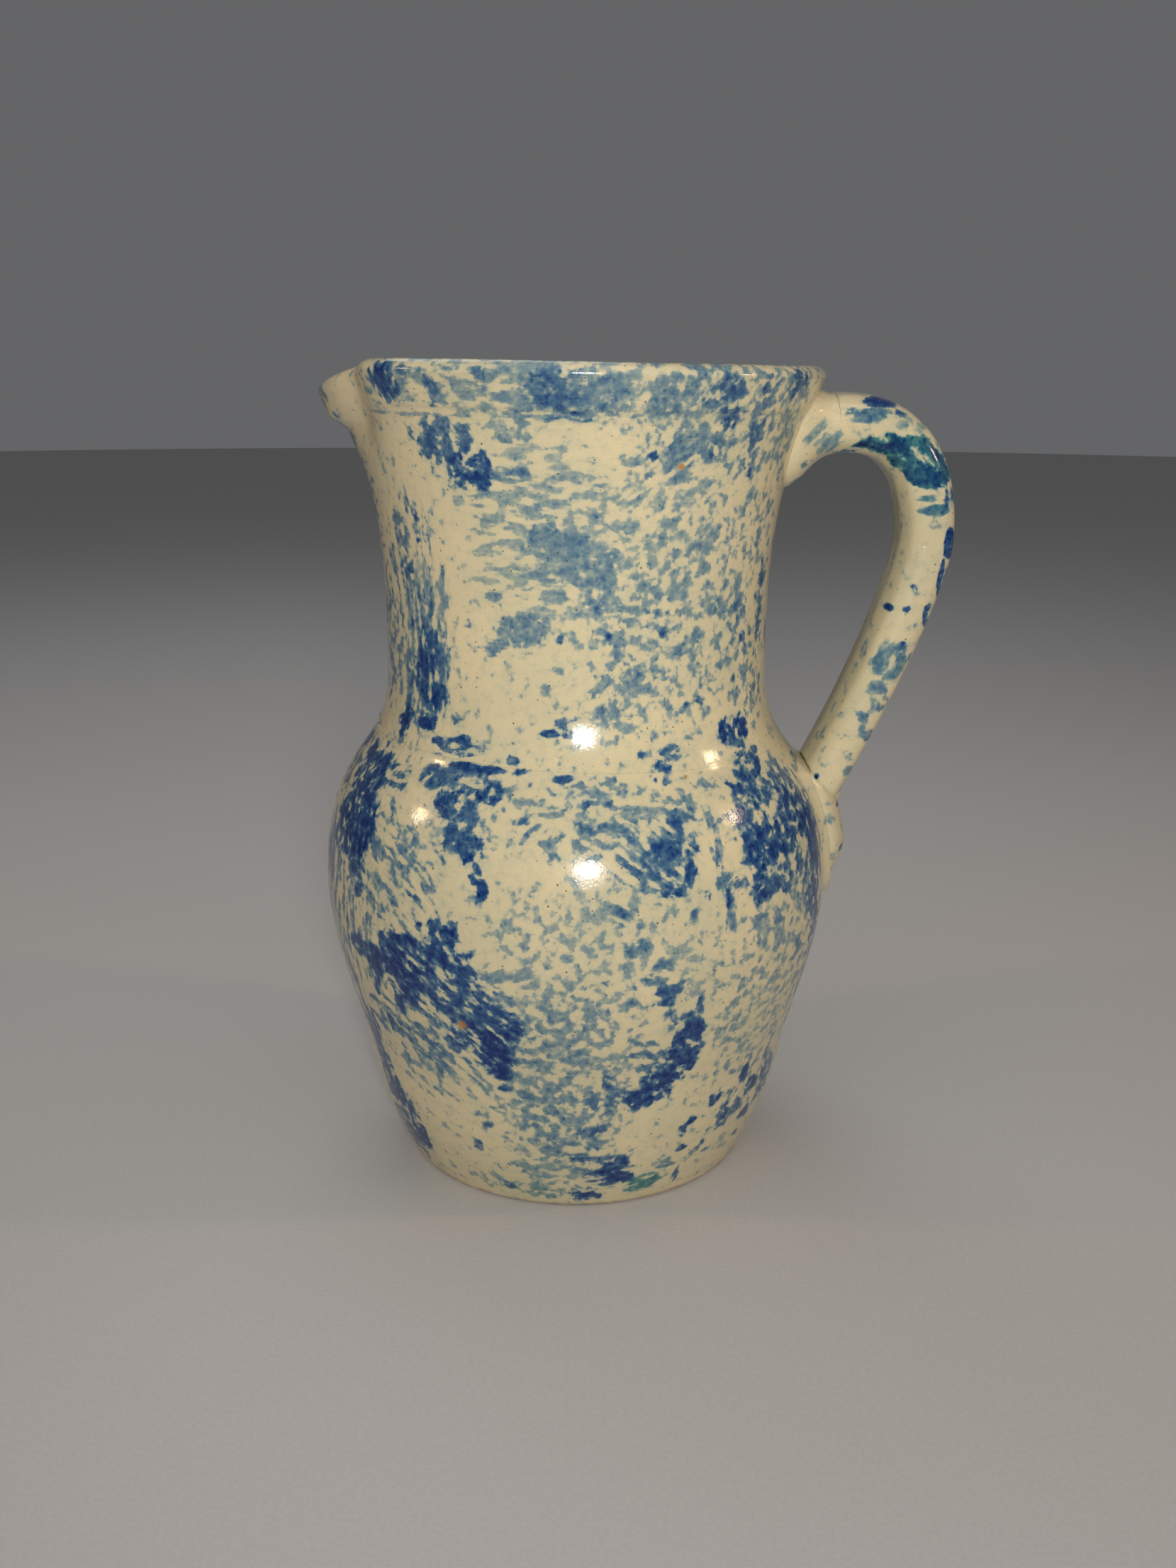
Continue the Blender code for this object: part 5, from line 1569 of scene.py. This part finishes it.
@dataclass
class PulledStrap:
    """A geometry tree that pulls a strap of clay along a path in the XZ plane.

    The path is a curve. The section is a rounded rectangle that changes along the path, and the
    end is cut back to the fold and rounded over there.
    """

    ridge_drift: float = 5.0
    cut_from: float = 0.6
    end_narrowing: float = 0.38
    tree: bpy.types.NodeTree = field(init=False)

    def __post_init__(self) -> None:
        """Build the tree once."""
        floats = ("Width Top", "Width Middle", "Width End", "Thickness Top", "Thickness End",
                  "Squareness", "Ridge Depth", "Ridge Count", "Round Over", "Seat Radius")
        sockets = [("Stations", "Int"), ("Sides", "Int")] + [(name, "Float") for name in floats]
        sockets += [("Fold Point", "Vector"), ("Fold Normal", "Vector"), ("Glaze", "Material")]
        bench, given = open_tree("pulled_strap", sockets)
        self.tree = bench.tree
        shaped = self.shape(bench, given, self.sweep(bench, given))
        real = bench.add("GeometryNodeRealizeInstances", None, {0: shaped})
        bench.end(bench.set_material(real, given["Glaze"]))

    def sweep(self, bench: Bench, given: dict[str, Wire]) -> Wire:
        """A round tube along the path, whose points know their place on the path and section.

        Args:
            bench: The tree's bench.
            given: The tree's inputs, by name.

        Returns:
            The tube.
        """
        sockets = {"Curve": given["Geometry"], "Count": given["Stations"]}
        path = bench.add("GeometryNodeResampleCurve", None, sockets)
        path = bench.keep(path, "centre", "FLOAT_VECTOR", bench.add("GeometryNodeInputPosition"))
        path = bench.keep(path, "run", "FLOAT_VECTOR", bench.add("GeometryNodeInputTangent"))
        path = bench.keep(path, "along", "FLOAT", bench.add("GeometryNodeSplineParameter"))
        sockets = {"Resolution": given["Sides"], "Radius": MM}
        circle = bench.add("GeometryNodeCurvePrimitiveCircle", None, sockets)
        turn = bench.add("GeometryNodeInputIndex") / given["Sides"] * math.tau
        circle = bench.keep(circle, "turn", "FLOAT", turn)
        sockets = {"Curve": path, "Profile Curve": circle, "Fill Caps": True}
        return bench.add("GeometryNodeCurveToMesh", None, sockets)

    def shape(self, bench: Bench, given: dict[str, Wire], swept: Wire) -> Wire:
        """Move the tube's points onto the strap's section and round its end at the fold.

        Args:
            bench: The tree's bench.
            given: The tree's inputs, by name.
            swept: The round tube.

        Returns:
            The strap.
        """
        along = bench.recall("along")
        centre = bench.recall("centre", "FLOAT_VECTOR")
        run = bench.recall("run", "FLOAT_VECTOR")
        out = bench.vector("CROSS_PRODUCT", (0.0, 1.0, 0.0), run)
        across, through, thickness = self.section(bench, given, along)
        normal = given["Fold Normal"]
        reach = bench.vector("SUBTRACT", given["Fold Point"], centre)
        left_over = bench.number("DOT_PRODUCT", reach, normal)
        left_over = left_over - bench.number("DOT_PRODUCT", bench.scaled(out, through), normal)
        gap = left_over / bench.number("DOT_PRODUCT", run, normal)
        gap = gap + across * across / (2.0 * given["Seat Radius"])
        is_far = bench.maths("LESS_THAN", along, self.cut_from)
        gap = gap * (1.0 - is_far) + is_far
        past = (1.0 - gap / given["Round Over"]).clamp()
        left = bench.maths("SQRT", 1.0 - past * past)
        inner = thickness * -0.5
        through = inner + (through - inner) * left
        across = across * ((1.0 - self.end_narrowing) + left * self.end_narrowing)
        side = bench.add("ShaderNodeCombineXYZ", None, {"Y": across})
        back = bench.scaled(run, bench.maths("MINIMUM", gap, 0.0))
        moved = bench.vector("ADD", bench.scaled(out, through), back)
        place = bench.vector("ADD", bench.vector("ADD", centre, side), moved)
        return bench.add("GeometryNodeSetPosition", None, {"Geometry": swept, "Position": place})

    def section(self, bench: Bench, given: dict[str, Wire], along: Wire) -> tuple[Wire, Wire, Wire]:
        """The strap's section where it isn't rounded over.

        Args:
            bench: The tree's bench.
            given: The tree's inputs, by name.
            along: The place on the path, 0 to 1.

        Returns:
            A point's distances across and through the strap, and the strap's thickness.
        """
        turn = bench.recall("turn")
        middle = 2.0 * along - 1.0
        is_top = bench.maths("LESS_THAN", along, 0.5)
        ends = given["Width Top"] * is_top + given["Width End"] * (1.0 - is_top)
        width = given["Width Middle"] + (ends - given["Width Middle"]) * (middle * middle)
        thickness = given["Thickness Top"] + (given["Thickness End"] - given["Thickness Top"]) * along
        phase = turn * given["Ridge Count"] + along * self.ridge_drift
        ridge = bench.maths("COSINE", phase) * given["Ridge Depth"]
        across = self.squared(bench, bench.maths("COSINE", turn), given["Squareness"]) * width * 0.5
        through = self.squared(bench, bench.maths("SINE", turn), given["Squareness"])
        return across, through * (thickness * 0.5 + ridge), thickness

    @staticmethod
    def squared(bench: Bench, value: Wire, squareness: Wire) -> Wire:
        """A sine or cosine raised to the power that squares off a circle, with its sign kept."""
        size = bench.maths("ABSOLUTE", value)
        return bench.maths("SIGN", value) * size ** (2.0 / squareness)


@dataclass
class Handle:
    """The strap and the clay that joins it to the neck and to the belly.

    Start, crest, end and the two fold points are X and Z. The steps of a pad are a length, its
    finest step and its coarsest. The saddle's neck is its half width at the top, how much wider it
    grows below, and over what height.
    """

    glaze: bpy.types.Material
    start: Pair = (70.8 * MM, 212.9 * MM)
    start_rise: float = math.radians(5.0)
    crest: Pair = (97.8 * MM, 182.0 * MM)
    end: Pair = (68.6 * MM, 108.6 * MM)
    end_lean: float = math.radians(30.5)
    reach_start: float = 21.0 * MM
    reach_crest_up: float = 17.0 * MM
    reach_crest_down: float = 12.0 * MM
    reach_end: float = 24.7 * MM
    widths: Triple = (27.0 * MM, 24.0 * MM, 27.0 * MM)
    thicknesses: Pair = (16.4 * MM, 13.8 * MM)
    squareness: float = 2.6
    ridge_depth: float = 0.10 * MM
    ridge_count: float = 9.0
    round_over: float = 2.4 * MM
    seat_radius: float = 78.0 * MM
    merge: float = 0.02 * MM
    fold_in: Pair = (66.7 * MM, 118.6 * MM)
    fold_out: Pair = (76.6 * MM, 109.6 * MM)
    fold_sink: float = 2.7 * MM
    flare_height: float = 5.2 * MM
    flare_width: float = 4.0 * MM
    flare_drop: float = 4.2 * MM
    flare_rings: int = 22
    flare_skin: float = 0.4 * MM
    flare_root: float = 2.6 * MM
    flare_spread: float = 1.01
    flare_bends: tuple[float, Triple] = (0.50, (0.42, 0.10, 0.14))
    tail_top: float = 116.0 * MM
    tail_bottom: float = 80.0 * MM
    tail_half_width: float = 15.6 * MM
    tail_fullness: float = 4.4 * MM
    tail_seat: float = 1.8 * MM
    tail_sunk: float = 0.6 * MM
    tail_under: float = 1.0 * MM
    tail_toe: float = 7.0 * MM
    tail_squareness: float = 3.4
    tail_columns: int = 61
    tail_steps: Triple = (36.0, 0.25, 0.6)
    tail_ripples: float = 11.0
    tail_swell_share: float = 0.45
    toe_limit: float = 0.995
    fold_gap: float = 0.3 * MM
    thinnest: float = 0.05 * MM
    saddle_top: float = 119.6 * MM
    saddle_margin: float = 4.0 * MM
    saddle_swell: float = 2.0 * MM
    saddle_edge_power: float = 1.7
    saddle_fade: float = 3.6 * MM
    saddle_under: float = 1.2 * MM
    saddle_columns: int = 81
    saddle_steps: Triple = (44.0, 0.3, 0.7)
    saddle_neck: Triple = (15.0 * MM, 30.0 * MM, 10.0 * MM)
    sides: int = 96
    stations: int = 170
    pulled: PulledStrap = field(default_factory=PulledStrap)
    sponge: Sponge = field(default_factory=lambda: Sponge(edge=0.34))

    def path(self) -> bpy.types.Object:
        """The strap's centreline as a curve of two bends.

        Returns:
            The curve object.
        """
        curve = bpy.data.curves.new("strap_path", "CURVE")
        curve.dimensions = "3D"
        curve.resolution_u = 40
        spline = curve.splines.new("BEZIER")
        spline.bezier_points.add(2)
        rise = Vector((math.cos(self.start_rise), 0.0, math.sin(self.start_rise)))
        lean = Vector((math.sin(self.end_lean), 0.0, math.cos(self.end_lean)))
        up = Vector((0.0, 0.0, 1.0))
        places = [Vector((x, 0.0, z)) for x, z in (self.start, self.crest, self.end)]
        before = [-self.reach_start * rise, self.reach_crest_up * up, self.reach_end * lean]
        after = [self.reach_start * rise, -self.reach_crest_down * up, -self.reach_end * lean]
        for point, place, left, right in zip(spline.bezier_points, places, before, after):
            point.handle_left_type = point.handle_right_type = "FREE"
            point.co = place
            point.handle_left = place + left
            point.handle_right = place + right
        made = bpy.data.objects.new("handle_strap_glazed", curve)
        bpy.context.scene.collection.objects.link(made)
        return made

    def strap(self) -> bpy.types.Object:
        """The strap, pulled along its path.

        Returns:
            The piece.
        """
        fold = Vector((self.fold_out[0] - self.fold_in[0], 0.0, self.fold_out[1] - self.fold_in[1]))
        normal = Vector((fold.z, 0.0, -fold.x)).normalized()
        seat = Vector((self.fold_in[0], 0.0, self.fold_in[1])) + normal * self.fold_sink
        values = {
            "Stations": self.stations, "Sides": self.sides,
            "Width Top": self.widths[0], "Width Middle": self.widths[1], "Width End": self.widths[2],
            "Thickness Top": self.thicknesses[0], "Thickness End": self.thicknesses[1],
            "Squareness": self.squareness, "Ridge Depth": self.ridge_depth,
            "Ridge Count": self.ridge_count, "Round Over": self.round_over,
            "Seat Radius": self.seat_radius, "Fold Point": tuple(seat), "Fold Normal": tuple(normal),
            "Glaze": self.glaze,
        }
        made = run_tree(self.path(), self.pulled.tree, values)
        for name in ("centre", "run", "along", "turn"):
            made.data.attributes.remove(made.data.attributes[name])
        return self.dress(made, self.merge)

    def dress(self, obj: bpy.types.Object, merge: float = 0.0) -> bpy.types.Object:
        """Smooth a handle piece, glaze it and sponge it.

        Args:
            obj: The plain piece.
            merge: How near two points have to be to become one; 0 merges none.

        Returns:
            The same piece.
        """
        finish_surface(obj.data, merge)
        if not obj.data.materials:
            obj.data.materials.append(self.glaze)
        plain = np.zeros(len(obj.data.vertices), bool)
        self.sponge.apply(obj.data, HANDLE_DABS, False, plain)
        return obj

    def squared(self, value: Array, length: float) -> Array:
        """A sine or cosine squared off, over a length from side to side."""
        return np.sign(value) * np.abs(value) ** (2.0 / self.squareness) * length / 2.0

    def wall_x(self, y: Array, z: Array) -> Array:
        """Where the outside of the wall stands on the handle's side.

        Args:
            y: Distances across.
            z: Heights.

        Returns:
            Distances along X.
        """
        angle = np.zeros_like(z)
        band = z > BODY.line_at(angle) - 1.0 * MM
        reach = np.where(band, BODY.band_outside(angle, z), BODY.neck_outside(angle, z))
        return np.sqrt(reach ** 2 - y ** 2)

    def top_lute(self) -> bpy.types.Object:
        """The flare that joins the strap to the neck; it runs a little way into the wall.

        Returns:
            The piece.
        """
        turns = round_angles(self.sides)
        across = self.squared(np.cos(turns), self.widths[0])
        through = self.squared(np.sin(turns), self.thicknesses[0])
        sine, cosine = math.sin(self.start_rise), math.cos(self.start_rise)
        near = np.stack([self.start[0] - sine * through, across, self.start[1] + cosine * through], axis=-1)
        far_y = across * (1.0 + self.flare_width / (self.widths[0] / 2.0))
        taller = 1.0 + self.flare_height / (self.thicknesses[0] / 2.0)
        far_z = self.start[1] - self.flare_drop + through * taller
        wall = self.wall_x(far_y, far_z)
        far = np.stack([wall - self.flare_skin, far_y, far_z], axis=-1)
        root = (wall - self.flare_root, far_y * self.flare_spread, far_z - self.flare_skin)
        deep = np.stack(root, axis=-1)
        span = (near[:, 0] - far[:, 0])[:, None]
        near_bend, far_bend = self.flare_bends
        near_control = near + np.array([-cosine, 0.0, -sine]) * span * near_bend
        shapes = (near, near_control, far + (near - far) * np.array(far_bend), far)
        rings = []
        for share in np.linspace(0.0, 1.0, self.flare_rings):
            keep = 1.0 - share
            weights = (keep ** 3, 3.0 * keep ** 2 * share, 3.0 * keep * share ** 2, share ** 3)
            rings.append(sum(weight * shape for weight, shape in zip(weights, shapes)))
        rings.append(deep)
        points = np.concatenate(rings + [near.mean(0)[None], deep.mean(0)[None]])
        made = new_object("handle_top_lute_glazed", points, capped_faces(len(rings), self.sides))
        return self.dress(made)

    def pad(self, name: str, outer: Array, inner: Array) -> bpy.types.Object:
        """A closed pad between two grids of points.

        Args:
            name: The piece's name.
            outer: The outer grid, as rows, columns and x, y, z.
            inner: The inner grid, of the same shape.

        Returns:
            The piece.
        """
        rows, columns = outer.shape[:2]
        shift = rows * columns
        grid = np.arange(shift).reshape(rows, columns)
        corners = [grid[:-1, :-1], grid[:-1, 1:], grid[1:, 1:], grid[1:, :-1]]
        quads = np.stack(corners, axis=-1).reshape(-1, 4)
        border = np.concatenate([grid[0, :-1], grid[:-1, -1], grid[-1, :0:-1], grid[:0:-1, 0]])
        after = np.roll(border, -1)
        rim = np.stack([after, border, border + shift, after + shift], axis=-1)
        faces = np.concatenate([quads, quads[:, ::-1] + shift, rim])
        points = np.concatenate([outer.reshape(-1, 3), inner.reshape(-1, 3)])
        return self.dress(new_object(name, points, faces))

    def around(self, reach: Array, across: Array, height: Array) -> Array:
        """Points on the handle's side of the body.

        Args:
            reach: Distances from the axis.
            across: Distances across, along the surface.
            height: Heights.

        Returns:
            The points, as rows, columns and x, y, z.
        """
        angle = across / reach
        tall = height * np.ones_like(angle)
        return np.stack([reach * np.cos(angle), reach * np.sin(angle), tall], axis=-1)

    def toe_width(self, height: Array, margin: float) -> Array:
        """Half width of the rounded toe and straight sides of the tail.

        Args:
            height: Heights.
            margin: How much wider than the tail.

        Returns:
            The half widths.
        """
        reach = 0.5 * (self.tail_top - self.tail_bottom)
        below = self.tail_bottom - margin + reach - height
        share = np.clip(below / reach, 0.0, self.toe_limit)
        return (self.tail_half_width + margin) * np.sqrt(1.0 - share ** 2)

    def fullness(self, height: Array) -> Array:
        """How far the tail's middle stands off its seat.

        Args:
            height: Heights.

        Returns:
            The distances.
        """
        fold_share = (height - self.fold_in[1]) / (self.fold_out[1] - self.fold_in[1])
        fold_x = self.fold_in[0] + (self.fold_out[0] - self.fold_in[0]) * fold_share
        under_fold = fold_x - BODY.radius(height) - self.tail_seat - self.fold_gap
        swell_top = self.tail_bottom + self.tail_swell_share * (self.tail_top - self.tail_bottom)
        toe = smooth_step(self.tail_bottom, swell_top, height)
        return np.maximum(np.minimum(under_fold, self.tail_fullness * toe), self.thinnest)

    def tail(self) -> bpy.types.Object:
        """The strap's tail, folded back and pressed down on the belly.

        Returns:
            The piece.
        """
        length = self.tail_top - self.tail_bottom
        height = (self.tail_bottom + length * graded(*self.tail_steps))[:, None]
        share = np.sin(np.linspace(-0.5 * math.pi, 0.5 * math.pi, self.tail_columns))[None, :]
        across = self.toe_width(height, 0.0) * share
        crown = (1.0 - np.abs(share) ** self.tail_squareness) ** (1.0 / self.tail_squareness)
        seat = BODY.radius(height) - self.tail_sunk
        toe = smooth_step(self.tail_bottom, self.tail_bottom + self.tail_toe, height)
        rise = (self.tail_sunk + self.tail_seat * toe + self.fullness(height)) * crown
        ripple = self.ridge_depth * np.cos(share * self.tail_ripples) * crown * toe
        outer = self.around(seat + rise + ripple, across, height)
        inner = self.around(seat - self.tail_under, across, height)
        return self.pad("handle_tail_glazed", outer, inner)

    def bottom_lute(self) -> bpy.types.Object:
        """The clay smoothed out round the tail and up into the crotch of the strap.

        Returns:
            The piece.
        """
        low, high = self.tail_bottom - self.saddle_margin, self.saddle_top
        height = (low + (high - low) * graded(*self.saddle_steps))[:, None]
        share = np.linspace(-1.0, 1.0, self.saddle_columns)[None, :]
        top, wider, drop = self.saddle_neck
        widest = top + wider * smooth_step(high, high - drop, height)
        half = np.minimum(self.toe_width(height, self.saddle_margin), widest)
        across = half * share
        edge = np.clip((half - np.abs(across)) / self.saddle_margin, 0.0, 1.0)
        toe = np.clip((height - low) / self.saddle_margin, 0.0, 1.0)
        up = np.clip((high - height) / self.saddle_fade, 0.0, 1.0)
        swell = self.saddle_swell * np.minimum(edge, toe) ** self.saddle_edge_power
        swell = swell * smooth_step(0.0, 1.0, up)
        skin = BODY.radius(height) - self.thinnest
        outer = self.around(skin + swell, across, height)
        inner = self.around(skin - self.saddle_under, across, height)
        return self.pad("handle_bottom_lute_glazed", outer, inner)


# Studio


@dataclass(frozen=True)
class Softbox:
    """One round soft light: its place, the point it faces, its width, power, colour and beam."""

    name: str
    place: Triple
    aim: Triple
    size: float
    watts: float
    tint: Colour
    beam: float = 180.0

    def hang(self) -> None:
        """Put the light in the scene."""
        light = bpy.data.lights.new(self.name, "AREA")
        light.shape = "DISK"
        light.size = self.size
        light.energy = self.watts
        light.color = self.tint
        light.spread = math.radians(self.beam)
        holder = bpy.data.objects.new(self.name, light)
        holder.location = self.place
        toward = Vector(self.aim) - Vector(self.place)
        holder.rotation_euler = toward.to_track_quat("-Z", "Y").to_euler()
        bpy.context.scene.collection.objects.link(holder)


WARM = (1.0, 0.66, 0.40)
SOFTBOXES = (
    Softbox("key", (0.048, -0.644, 0.269), (0.0, 0.0, 0.19), 0.09, 0.58, (1.0, 0.97, 0.92), 78.0),
    Softbox("overhead", (0.0, -0.25, 1.10), (0.0, 0.0, 0.0), 0.90, 1.8, (1.0, 0.98, 0.96)),
    Softbox("back", (-0.20, 0.60, 1.00), (0.0, 0.05, 0.0), 0.70, 1.6, (0.96, 0.98, 1.0)),
    Softbox("left", (-0.70, -0.12, 0.42), (0.0, 0.0, 0.12), 0.07, 0.55, WARM),
    Softbox("right", (0.70, -0.12, 0.42), (0.0, 0.0, 0.12), 0.07, 0.75, WARM),
)


@dataclass
class Studio:
    """A plain pale floor, soft light and the camera."""

    image_height: float = 2212.0
    focal: float = 2161.93
    distance: float = 1.9 * 229.0 * MM
    eye: float = 0.99673532 * 229.0 * MM
    yaw: float = math.radians(0.45276)
    pitch: float = math.radians(15.32099)
    roll: float = math.radians(0.27584)
    floor_reach: float = 4.0
    floor_sides: int = 96
    floor_height: float = -0.02 * MM
    sky: Colour = (0.80, 0.81, 0.83)
    sky_strength: float = 0.16

    def camera(self) -> None:
        """Set up the camera: level with the rim, looking down at the belly."""
        forward = Vector((math.sin(self.yaw) * math.cos(self.pitch),
                          math.cos(self.yaw) * math.cos(self.pitch), -math.sin(self.pitch)))
        right = Vector((math.cos(self.yaw), -math.sin(self.yaw), 0.0))
        up = right.cross(forward)
        tilted_right = math.cos(self.roll) * right + math.sin(self.roll) * up
        tilted_up = -math.sin(self.roll) * right + math.cos(self.roll) * up
        lens = bpy.data.cameras.new("camera")
        lens.sensor_fit = "VERTICAL"
        lens.sensor_height = 36.0
        lens.lens = self.focal * lens.sensor_height / self.image_height
        lens.clip_start = 0.01
        camera = bpy.data.objects.new("camera", lens)
        matrix = Matrix((tilted_right, tilted_up, -forward)).transposed().to_4x4()
        matrix.translation = Vector((0.0, -self.distance, self.eye))
        camera.matrix_world = matrix
        bpy.context.scene.collection.objects.link(camera)
        bpy.context.scene.camera = camera

    def lights(self) -> None:
        """A key beside the lens, broad overhead and back boxes, two warm side boxes and a grey sky."""
        for softbox in SOFTBOXES:
            softbox.hang()
        world = bpy.data.worlds.new("studio")
        world.use_nodes = True
        backdrop = world.node_tree.nodes["Background"]
        backdrop.inputs["Color"].default_value = (*self.sky, 1.0)
        backdrop.inputs["Strength"].default_value = self.sky_strength
        bpy.context.scene.world = world
        bpy.context.scene.view_settings.view_transform = "Standard"

    def floor(self) -> None:
        """A large plain disc under the foot."""
        turns = round_angles(self.floor_sides)
        level = np.full(self.floor_sides, self.floor_height)
        across, along = self.floor_reach * np.cos(turns), self.floor_reach * np.sin(turns)
        points = np.stack([across, along, level], axis=-1)
        made = new_object("studio_floor", points, [list(range(self.floor_sides))])
        material, bench, shader = new_material("studio_paper")
        fibre = bench.noise(bench.place(), 1.2, 2.0, 0.5)
        stops = [(0.3, (0.52, 0.52, 0.52)), (0.7, (0.56, 0.56, 0.56))]
        bench.plug(shader.inputs["Base Color"], bench.ramp(fibre, stops))
        shader.inputs["Roughness"].default_value = 0.9
        made.data.materials.append(material)


def deliver(piece: bpy.types.Object, node: str) -> None:
    """Hand a finished piece to the frame and report it.

    Args:
        piece: The finished piece.
        node: The CAD node that it stands for.
    """
    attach(piece, "root")
    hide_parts(node)
    LOG.info("%s stands for %s: %d faces", piece.name, node, len(piece.data.polygons))


def on_body(turn: float, height: float) -> Triple:
    """A point on the body's outside.

    Args:
        turn: Degrees from the front towards the handle.
        height: The height in millimetres.

    Returns:
        The point in millimetres.
    """
    reach = BODY.radius_at(height * MM) / MM
    return (reach * math.sin(math.radians(turn)), -reach * math.cos(math.radians(turn)), height)


def main() -> None:
    """Build every piece, set the stage and note the sizes."""
    logging.basicConfig(level=logging.INFO, format="%(name)s: %(message)s")
    rust = ((on_body(25.5, 204.3), 1.1), (on_body(28.3, 125.5), 0.7), (on_body(-25.4, 60.4), 1.7))
    glaze = SpongedGlaze("sponged_glaze", rust=rust).material()
    handle_glaze = SpongedGlaze("handle_glaze", print_size=4.0).material()
    clay = BareClay("bare_clay").material()
    dabs = RIM_DABS + NECK_DABS + LOOSE_DABS + BELLY_DABS + HIP_DABS + tuple(BackDabs().dabs())
    body = ThrownBody(glaze, clay)
    deliver(body.floor(), "foot_floor")
    deliver(body.belly(dabs), "belly_wall")
    deliver(body.neck(dabs), "neck_wall")
    deliver(body.rim(dabs), "rim_and_spout")
    handle = Handle(handle_glaze)
    deliver(handle.strap(), "handle_strap")
    deliver(handle.top_lute(), "handle_top_lute")
    deliver(handle.tail(), "handle_tail")
    deliver(handle.bottom_lute(), "handle_bottom_lute")
    studio = Studio()
    studio.floor()
    studio.camera()
    studio.lights()


if __name__ == "__main__":
    main()
